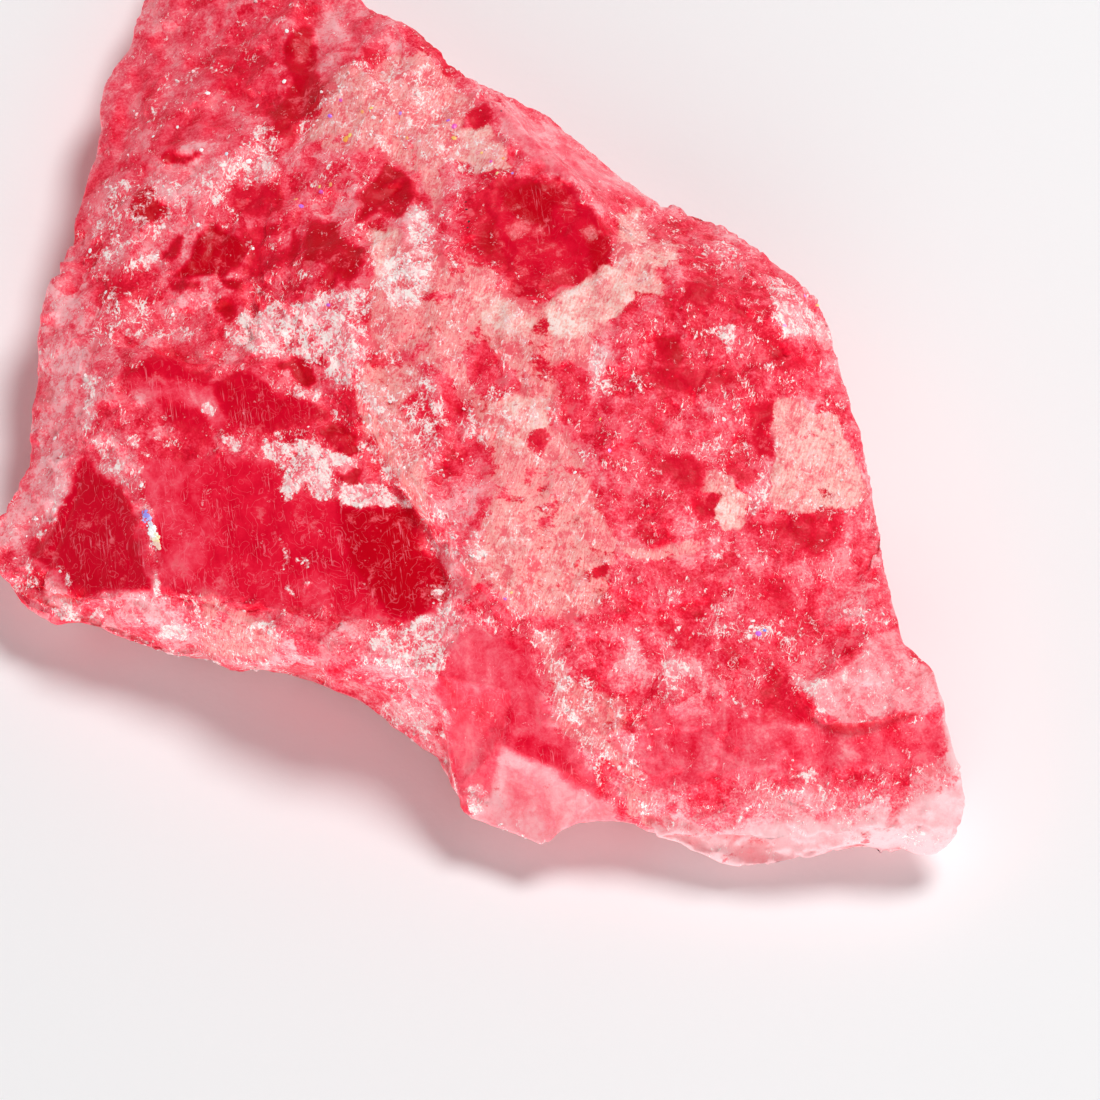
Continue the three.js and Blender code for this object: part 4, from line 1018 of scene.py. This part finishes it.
moves = add_node(tree, "ShaderNodeMath", {"operation": "MULTIPLY_ADD"}, in0=surface,
                 in1=rough_share, in2=within)
moves = add_node(tree, "ShaderNodeMath", {"operation": "MULTIPLY"}, in0=moves.outputs[0],
                 in1=pale_share)
# The darkness also holds the shade painted into the hollows of the relief.
darkness = add_node(tree, "ShaderNodeMath", {"operation": "MULTIPLY_ADD"}, in0=moves.outputs[0],
                    in1=calm_share, in2=marked["crimson"])
body = add_node(tree, "ShaderNodeValToRGB", Fac=darkness.outputs[0])
fill_ramp(body, CRYSTAL_TONES)
print("tones of the body:", len(CRYSTAL_TONES))

# %% The vein
VEIN_FIRST = 0.28  # tone of the vein where its mark is 0
VEIN_PALER = 0.30  # how much paler it grows with its mark
VEIN_GRAIN = {"cloud": 0.50, "fleck": 0.40, "wisp": 0.34, "speck": 0.28}  # moves of that tone
VEIN_EDGE = {"cloud": -1.1, "fleck": -0.8, "speck": -0.35}  # how far each moves the vein's edge

vein_tone = add_node(tree, "ShaderNodeMath", {"operation": "MULTIPLY_ADD"}, in0=marked["cream"],
                     in1=VEIN_PALER, in2=VEIN_FIRST).outputs[0]
for name, reach in VEIN_GRAIN.items():
    vein_tone = add_node(tree, "ShaderNodeMath", {"operation": "MULTIPLY_ADD"}, in0=grain[name],
                         in1=reach, in2=vein_tone).outputs[0]
vein = add_node(tree, "ShaderNodeValToRGB", Fac=vein_tone)
fill_ramp(vein, VEIN_TONES)
vein_level = marked["cream"]
for name, reach in VEIN_EDGE.items():
    vein_level = add_node(tree, "ShaderNodeMath", {"operation": "MULTIPLY_ADD"}, in0=grain[name],
                          in1=reach, in2=vein_level).outputs[0]
print("tones of the vein:", len(VEIN_TONES))

# %% [markdown]
# ## White lines, and the crust
#
# Thin white lines run all over the stone: the edges of splinters, wisps between crystals, folds in
# the crushed skin, and cracks inside the clear faces. Thousands of drawn curves could make them,
# but a line also appears wherever a noise crosses a level, in any number and at no cost. The lines
# then count as thin crust, so that one step lays the pale veil and the white over the red.

# %% Lines: splinters' edges, wisps, folds and cracks
FOLDS_IN_CLEAR = 0.7  # how strongly the folds show through a clear face
fold = add_node(tree, "ShaderNodeMath", {"operation": "ABSOLUTE"}, in0=grain["crinkle"]).outputs[0]
# What each is read from, where it starts and is full, and how strong it is.
LINES = {
    "splinter": (splinter_edge, 0.09, 0.0, 0.22),
    "wisp": (grain["wisp"], 0.10, 0.28, 0.50),
    "fold": (fold, 0.045, 0.0, 0.46),
    "fold_gaps": (grain["cloud"], 0.30, -0.12, 1.0),
    "crack": (grain["scratch"], 0.10, 0.34, 0.75),
    "crack_gaps": (grain["haze"], -0.04, 0.32, 1.0),
}

line = {}
for name, (level, start, full, strength) in LINES.items():
    line[name] = add_node(tree, "ShaderNodeMapRange", {"interpolation_type": "SMOOTHSTEP"},
                          Value=level, From_Min=start, From_Max=full,
                          To_Max=strength).outputs["Result"]
splinters = add_node(tree, "ShaderNodeMath", {"operation": "MULTIPLY"}, in0=line["splinter"],
                     in1=rough_share).outputs[0]
web = add_node(tree, "ShaderNodeMath", {"operation": "ADD"}, in0=line["wisp"],
               in1=line["fold"]).outputs[0]
for share in (line["fold_gaps"], rough_share, calm_share):
    web = add_node(tree, "ShaderNodeMath", {"operation": "MULTIPLY"}, in0=web, in1=share).outputs[0]
cracks = add_node(tree, "ShaderNodeMath", {"operation": "MULTIPLY"}, in0=line["crack"],
                  in1=line["crack_gaps"]).outputs[0]
cracks = add_node(tree, "ShaderNodeMath", {"operation": "MULTIPLY_ADD"}, in0=line["fold"],
                  in1=FOLDS_IN_CLEAR, in2=cracks).outputs[0]
cracks = add_node(tree, "ShaderNodeMath", {"operation": "MULTIPLY"}, in0=cracks,
                  in1=marked["clear"]).outputs[0]
print("lines:", ", ".join(line))

# %% Crust, and the colours one over another
FROST_SHARE = 0.74  # of the thickness that the marks give
CRUST_GRAIN = {"fleck": 1.1, "fibre": 0.35, "speck": 0.50}  # how far each moves the crust's edge
CRUST_MIDDLE = 0.5  # its tone, between pink and white
CRUST_TONE = {"fibre": 0.50, "speck": 0.30}  # and how far each moves that

crust_level = add_node(tree, "ShaderNodeMath", {"operation": "MULTIPLY_ADD"}, in0=marked["frost"],
                       in1=FROST_SHARE, in2=splinters).outputs[0]
crust_level = add_node(tree, "ShaderNodeMath", {"operation": "ADD"}, in0=crust_level,
                       in1=web).outputs[0]
for name, reach in CRUST_GRAIN.items():
    crust_level = add_node(tree, "ShaderNodeMath", {"operation": "MULTIPLY_ADD"}, in0=grain[name],
                           in1=reach, in2=crust_level).outputs[0]
crust_tone = CRUST_MIDDLE
for name, reach in CRUST_TONE.items():
    crust_tone = add_node(tree, "ShaderNodeMath", {"operation": "MULTIPLY_ADD"}, in0=grain[name],
                          in1=reach, in2=crust_tone).outputs[0]
crust = add_node(tree, "ShaderNodeValToRGB", Fac=crust_tone)
fill_ramp(crust, FROST_TONES)
# What lays each colour on, where that starts and is full, how much it covers, and the colour.
LAYERS = [
    (vein_level, 0.22, 0.62, 0.92, vein.outputs["Color"]),
    (crust_level, 0.46, 0.60, 0.45, linear(VEIL_COLOUR)),
    (crust_level, 0.68, 0.84, 0.95, crust.outputs["Color"]),
    (cracks, 0.0, 0.6, 0.55, linear(CRACK_COLOUR)),
]
coloured = body.outputs["Color"]
for level, start, full, most, colour in LAYERS:
    cover = add_node(tree, "ShaderNodeMapRange", {"interpolation_type": "SMOOTHSTEP"}, Value=level,
                     From_Min=start, From_Max=full, To_Max=most).outputs["Result"]
    coloured = add_node(tree, "ShaderNodeMix", {"data_type": "RGBA"}, in0=cover, in6=coloured,
                        in7=colour).outputs[2]
tree.links.new(coloured, shader.inputs["Base Color"])
print("layers of colour over the body:", len(LAYERS))

# %% [markdown]
# ## Gloss, grit and glow
#
# A cleavage face is as smooth as glass, and a crushed break scatters light, so the roughness
# follows the same marks as the colours. Grit finer than the mesh could be cut into it, at the cost
# of millions of faces. Bump only tilts the light, and at this size the eye can't tell. The light
# measured through the thin edges comes out in the stone's own colours.

# %% Gloss, grit and glow of the crystal
CRYSTAL_IOR = 1.73
CRYSTAL_SHINE = 0.08  # low, because the cracks under the skin break up what it mirrors
ROUGH_BREAK = 0.42  # roughness of a break
ROUGH_CLEAR = 0.14  # and of a clear face
ROUGH_SPECKS = 0.15  # how far single grains move that
GRIT_HEIGHT = 0.03  # mm
GRIT = {"fleck": 0.50, "speck": 0.25}  # share of each in the relief
THROUGH_STRENGTH = 1.05  # of the light that comes out where the stone is thin

sheen = add_node(tree, "ShaderNodeMapRange", Value=marked["clear"], To_Min=ROUGH_BREAK,
                 To_Max=ROUGH_CLEAR)
roughness = add_node(tree, "ShaderNodeMath", {"operation": "MULTIPLY_ADD"}, in0=grain["speck"],
                     in1=ROUGH_SPECKS, in2=sheen.outputs["Result"])
tree.links.new(roughness.outputs[0], shader.inputs["Roughness"])
height = 0.0
for name, reach in GRIT.items():
    height = add_node(tree, "ShaderNodeMath", {"operation": "MULTIPLY_ADD"}, in0=grain[name],
                      in1=reach, in2=height).outputs[0]
grit = add_node(tree, "ShaderNodeBump", Height=height, Strength=rough_share,
                Distance=GRIT_HEIGHT * MM)
tree.links.new(grit.outputs["Normal"], shader.inputs["Normal"])
# Painted glow: the surface gives out light in its own colours where the stone is thin, standing in
# for the light that comes through it.
glow = add_node(tree, "ShaderNodeMix", {"data_type": "RGBA"}, in0=marked["through"],
                in6=(0.0, 0.0, 0.0, 1.0), in7=coloured)
tree.links.new(glow.outputs[2], shader.inputs["Emission Color"])
shader.inputs["Emission Strength"].default_value = THROUGH_STRENGTH
crystal.cycles.emission_sampling = "NONE"  # the glow is too faint to be treated as a lamp
shader.inputs["IOR"].default_value = CRYSTAL_IOR
shader.inputs["Specular IOR Level"].default_value = CRYSTAL_SHINE
stone_mesh.materials.append(crystal)
print("nodes in the material:", len(tree.nodes))

# %% [markdown]
# ## Flakes of crushed crystal
#
# Where the stone was struck, the crust is made of loose flakes that stand on the surface, and their
# edges sparkle. There are thousands of them and they follow the surface, so Geometry Nodes scatters
# them: more where the frost is thick, each turned and sized at random from a fixed seed. A flake is
# a squashed twenty-sided ball, because a shape seen thousands of times needs few faces.

# %% The flakes' node tree
FLAKE_SHAPE = (1.0, 0.7, 0.35)  # length, width and thickness, as shares of the length
FLAKE_FROST = (0.25, 0.95)  # thickness of frost for the first flakes, and for the densest

# Clear splinters, white from their many edges.
flake_material = bpy.data.materials.new("crushed_crystal")
flake_material.use_nodes = True
flake_tree = bpy.data.node_groups.new("scattered_flakes", "GeometryNodeTree")
for name, kind in (("Geometry", "NodeSocketGeometry"), ("Smallest", "NodeSocketFloat"),
                   ("Largest", "NodeSocketFloat"), ("Density", "NodeSocketFloat"),
                   ("Seed", "NodeSocketInt")):
    flake_tree.interface.new_socket(name, in_out="INPUT", socket_type=kind)
flake_tree.interface.new_socket("Geometry", in_out="OUTPUT", socket_type="NodeSocketGeometry")

given = add_node(flake_tree, "NodeGroupInput").outputs
frosted = add_node(flake_tree, "GeometryNodeInputNamedAttribute", Name="frost").outputs["Attribute"]
thick = add_node(flake_tree, "ShaderNodeMapRange", Value=frosted, From_Min=FLAKE_FROST[0],
                 From_Max=FLAKE_FROST[1], To_Max=1.0).outputs["Result"]
density = add_node(flake_tree, "ShaderNodeMath", {"operation": "MULTIPLY"}, in0=thick,
                   in1=given["Density"]).outputs[0]
spread = add_node(flake_tree, "GeometryNodeDistributePointsOnFaces", Mesh=given["Geometry"],
                  Density=density, Seed=given["Seed"])
ball = add_node(flake_tree, "GeometryNodeMeshIcoSphere", Radius=1.0, Subdivisions=1)
flake = add_node(flake_tree, "GeometryNodeTransform", Geometry=ball.outputs["Mesh"],
                 Scale=FLAKE_SHAPE)
turn = add_node(flake_tree, "FunctionNodeRandomValue", {"data_type": "FLOAT_VECTOR"},
                in1=(math.tau, math.tau, math.tau))
size = add_node(flake_tree, "FunctionNodeRandomValue", {"data_type": "FLOAT"},
                in2=given["Smallest"], in3=given["Largest"])
scatter = add_node(flake_tree, "GeometryNodeInstanceOnPoints", Points=spread.outputs["Points"],
                   Instance=flake.outputs["Geometry"], Rotation=turn.outputs[0],
                   Scale=size.outputs[1])
real = add_node(flake_tree, "GeometryNodeRealizeInstances", Geometry=scatter.outputs["Instances"])
dressed = add_node(flake_tree, "GeometryNodeSetMaterial", Geometry=real.outputs["Geometry"],
                   Material=flake_material)
add_node(flake_tree, "NodeGroupOutput", Geometry=dressed.outputs["Geometry"])
print("nodes in the flakes' tree:", len(flake_tree.nodes))

# %% Scatter the flakes
FLAKE_SIZES = (0.03, 0.11)  # half lengths of the smallest and largest flake, mm
FLAKES_PER_MM2 = 9.0  # where they lie densest
FLAKE_SEED = 7

scattered = bpy.data.objects.new("flake_scatter", stone_mesh.copy())
bpy.context.scene.collection.objects.link(scattered)
scatter_step = scattered.modifiers.new("flakes", "NODES")
scatter_step.node_group = flake_tree
flake_inputs = {"Smallest": FLAKE_SIZES[0] * MM, "Largest": FLAKE_SIZES[1] * MM,
                "Density": FLAKES_PER_MM2 / MM**2, "Seed": FLAKE_SEED}
for item in flake_tree.interface.items_tree:
    if item.in_out == "INPUT" and item.name in flake_inputs:
        scatter_step[item.identifier] = flake_inputs[item.name]
evaluated = scattered.evaluated_get(bpy.context.evaluated_depsgraph_get())
flake_mesh = bpy.data.meshes.new_from_object(evaluated)
flake_mesh.name = "crust_flakes"
bpy.data.objects.remove(scattered)
print("flakes:", len(flake_mesh.polygons) // 20, "of 20 faces each")

# %% Keep the flakes within the solid's box
flakes = bpy.data.objects.new("crust_flakes", flake_mesh)
bpy.context.scene.collection.objects.link(flakes)
flake_points = np.empty(len(flake_mesh.vertices) * 3)
flake_mesh.vertices.foreach_get("co", flake_points)
flake_points = np.clip(flake_points.reshape(-1, 3), low * MM, high * MM)
flake_mesh.vertices.foreach_set("co", flake_points.ravel())
print("flakes, mm:", (flake_points.min(axis=0) / MM).round(2), "to",
      (flake_points.max(axis=0) / MM).round(2))

# %% The flakes' finish
FLAKE_TONES = [(0.30, "#FFD0D4"), (0.50, "#FFEAEA"), (0.70, "#FFFCFA")]
FLAKE_CHANGE = 0.25  # mm between a pink flake and a white one
FLAKE_CHANGE_LAYERS = 2.0
FLAKE_ROUGHNESS = 0.35
FLAKE_SHINE = 0.3

tree = flake_material.node_tree
shader = tree.nodes["Principled BSDF"]
place = add_node(tree, "ShaderNodeTexCoord").outputs["Object"]
flake_noise = add_node(tree, "ShaderNodeTexNoise", Vector=place, Scale=1 / (FLAKE_CHANGE * MM),
                       Detail=FLAKE_CHANGE_LAYERS)
flake_colour = add_node(tree, "ShaderNodeValToRGB", Fac=flake_noise.outputs["Fac"])
fill_ramp(flake_colour, FLAKE_TONES)
tree.links.new(flake_colour.outputs["Color"], shader.inputs["Base Color"])
shader.inputs["Roughness"].default_value = FLAKE_ROUGHNESS
shader.inputs["Specular IOR Level"].default_value = FLAKE_SHINE
shader.inputs["IOR"].default_value = CRYSTAL_IOR
print("finish of the flakes:", flake_material.name)

# %% [markdown]
# ## Painted rainbow glints and dark specks
#
# A few cracks lie so close to the skin that they split the light and flash in colours, and here and
# there sits a speck of black manganese oxide. Those flashes, and the white sparkle on a few
# splinters, are painted glints: spots of colour that stand in for the light. A scatter like that of
# the flakes would put them anywhere. They are few, and the eye goes to them, so each is placed one
# by one: a small squashed ball, pressed into the stone where a line of sight meets it. Only one
# long glint down a crack is filled at random.

# %% Painted glints, rainbow and white, and oxide
# Each has its place on the sheet, its half length in mm, and its colour.
GLINTS_AND_SPECKS = [
    # Painted glints, in the colours that thin cracks flash.
    (-3.83, 8.60, 0.14, "#FFAE50"), (-3.70, 8.72, 0.10, "#FFE07A"), (-4.01, 9.90, 0.08, "#E85CC8"),
    (-4.36, 9.38, 0.09, "#C070F0"), (-3.30, 9.50, 0.08, "#FFAE70"), (-3.00, 9.62, 0.08, "#FFE07A"),
    (-2.06, 9.44, 0.08, "#C88CF0"), (-1.83, 8.62, 0.07, "#FFB070"), (-4.60, 6.85, 0.10, "#E85CC8"),
    (-4.30, 7.08, 0.09, "#FFAE70"), (-4.66, 7.02, 0.07, "#FFE07A"), (-5.25, 6.38, 0.11, "#D070E8"),
    (-5.43, 6.61, 0.08, "#FFAE70"), (-0.30, 8.60, 0.11, "#FFC36A"), (-0.30, 9.00, 0.12, "#F25BC4"),
    (-0.50, 9.20, 0.08, "#C070F0"), (0.60, 8.10, 0.07, "#FFD080"), (0.90, 7.80, 0.07, "#F25BC4"),
    (1.30, 7.90, 0.07, "#FF9A60"), (1.60, 7.40, 0.06, "#B88CF4"), (1.10, 7.40, 0.07, "#FFE9A8"),
    (9.40, -7.40, 0.12, "#E070F0"), (9.60, -7.30, 0.07, "#8FA0FF"), (10.30, 2.40, 0.08, "#F8A0E8"),
    (4.70, -1.60, 0.09, "#F8A0E8"), (4.40, -0.60, 0.07, "#FFE27A"), (11.40, 3.10, 0.07, "#FFD080"),
    (11.00, 3.40, 0.07, "#E8A0F8"), (-4.30, 3.10, 0.08, "#D060D8"), (1.40, -6.30, 0.08, "#E07CE8"),
    (1.60, -6.10, 0.06, "#FFD080"),
    # Painted white glints, on the edges of splinters.
    (-12.20, 5.00, 0.11, "#FFFFFF"), (-7.00, 7.90, 0.12, "#FFFFFF"), (-6.80, 5.00, 0.07, "#FFFFFF"),
    (-5.84, 12.3, 0.09, "#FFFFFF"), (-8.43, 10.24, 0.11, "#FFFFFF"), (-6.78, 9.79, 0.09, "#FFFFFF"),
    (-11.60, 3.60, 0.09, "#FFFFFF"), (-8.60, 5.79, 0.09, "#FFFFFF"), (-8.55, 8.28, 0.09, "#FFFFFF"),
    (-7.72, 8.14, 0.08, "#E4F0FF"), (-5.90, 10.60, 0.10, "#FFFFFF"), (-9.40, 9.10, 0.07, "#FFFFFF"),
    (-10.20, 8.80, 0.07, "#FFFFFF"), (-2.30, 3.90, 0.08, "#FFFFFF"), (-1.70, 4.50, 0.10, "#FFFFFF"),
    (-1.20, 5.20, 0.08, "#FFFFFF"), (3.60, -2.30, 0.08, "#FFFFFF"),
    # Dark oxide.
    (0.10, 6.45, 0.04, "#2A1014"), (0.12, 6.2, 0.05, "#2A1014"), (0.2, 5.8, 0.05, "#2A1014"),
    (0.16, 5.6, 0.04, "#2A1014"), (1.23, 9.5, 0.04, "#2A1014"), (-6.6, -8.5, 0.06, "#9A5034"),
    (-5.9, -8.7, 0.06, "#9A5034"), (-5.6, -8.75, 0.05, "#B06A48"), (-5.3, -8.8, 0.06, "#8A4630"),
]
print("cracks and specks placed by hand:", len(GLINTS_AND_SPECKS))

# %% A long painted glint down a crack
# It runs down the ridge beside the small clear face: a painted glint, white in its middle, that
# shows the whole run of colours.
GLINT_ENDS = np.array([(-10.08, -3.62), (-9.66, -4.66)])  # on the sheet
GLINT_COLOURS = ["#A49CF8", "#C4C0FF", "#EFEDFF", "#FFFFFF", "#FFFFFF", "#FFFFFF", "#FFF4D6",
                "#FFE8AE", "#FFD6C4"]
GLINT_SPOTS = 64
GLINT_SPREAD = 0.07  # how far the spots lie off the line, mm
GLINT_SIZES = (0.04, 0.11)  # half lengths of the spots, mm
GLINT_SEED = 11

random = np.random.default_rng(GLINT_SEED)
for share in np.linspace(0, 1, GLINT_SPOTS):
    spot = GLINT_ENDS[0] + share * (GLINT_ENDS[1] - GLINT_ENDS[0]) + random.normal(0, GLINT_SPREAD, 2)
    colour = GLINT_COLOURS[min(int(share * len(GLINT_COLOURS)), len(GLINT_COLOURS) - 1)]
    GLINTS_AND_SPECKS.append((*spot, random.uniform(*GLINT_SIZES), colour))
print("cracks and specks in all:", len(GLINTS_AND_SPECKS))

# %% Press them into the stone
SPECK_SHAPE = Vector((1, 0.8, 0.3))  # length, width and thickness, as shares of the length
SIGHT_START = 60  # how far in front of the stone each line of sight begins, mm

pressed = bmesh.new()
tints = pressed.verts.layers.float_color.new("tint")
for across, up, half_length, colour in GLINTS_AND_SPECKS:
    start = Vector((across, *(up * sheet_up)[1:])) + towards_camera * SIGHT_START
    spot, facing = inside.ray_cast(start, -towards_camera)[:2]
    if spot is None:
        continue
    pose = Matrix.LocRotScale(spot * MM, facing.to_track_quat("Z", "Y"),
                              SPECK_SHAPE * half_length * MM)
    ball = bmesh.ops.create_icosphere(pressed, subdivisions=1, radius=1, matrix=pose)
    for vertex in ball["verts"]:
        vertex[tints] = linear(colour)
specks_mesh = bpy.data.meshes.new("cracks_and_specks")
pressed.to_mesh(specks_mesh)
pressed.free()
specks = bpy.data.objects.new("cracks_and_specks", specks_mesh)
bpy.context.scene.collection.objects.link(specks)
print("cracks and specks on the stone:", len(specks_mesh.polygons) // 20)

# %% The finish of the glints and specks
SPECK_ROUGHNESS = 0.3

# Painted glints in one colour each, for the flash of a thin film or a splinter, and dull black
# oxide.
speck_material = bpy.data.materials.new("painted_glints_and_oxide")
speck_material.use_nodes = True
tree = speck_material.node_tree
shader = tree.nodes["Principled BSDF"]
tint = add_node(tree, "ShaderNodeAttribute", {"attribute_name": "tint"}).outputs["Color"]
tree.links.new(tint, shader.inputs["Base Color"])
shader.inputs["Roughness"].default_value = SPECK_ROUGHNESS
specks_mesh.materials.append(speck_material)
print("finish of the specks:", speck_material.name)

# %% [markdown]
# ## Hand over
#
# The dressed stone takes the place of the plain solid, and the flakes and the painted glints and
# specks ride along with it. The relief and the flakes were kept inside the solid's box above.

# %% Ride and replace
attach(stone_object, "root")
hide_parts("rhodonite_stone")
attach(flakes, "root")
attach(specks, "root")
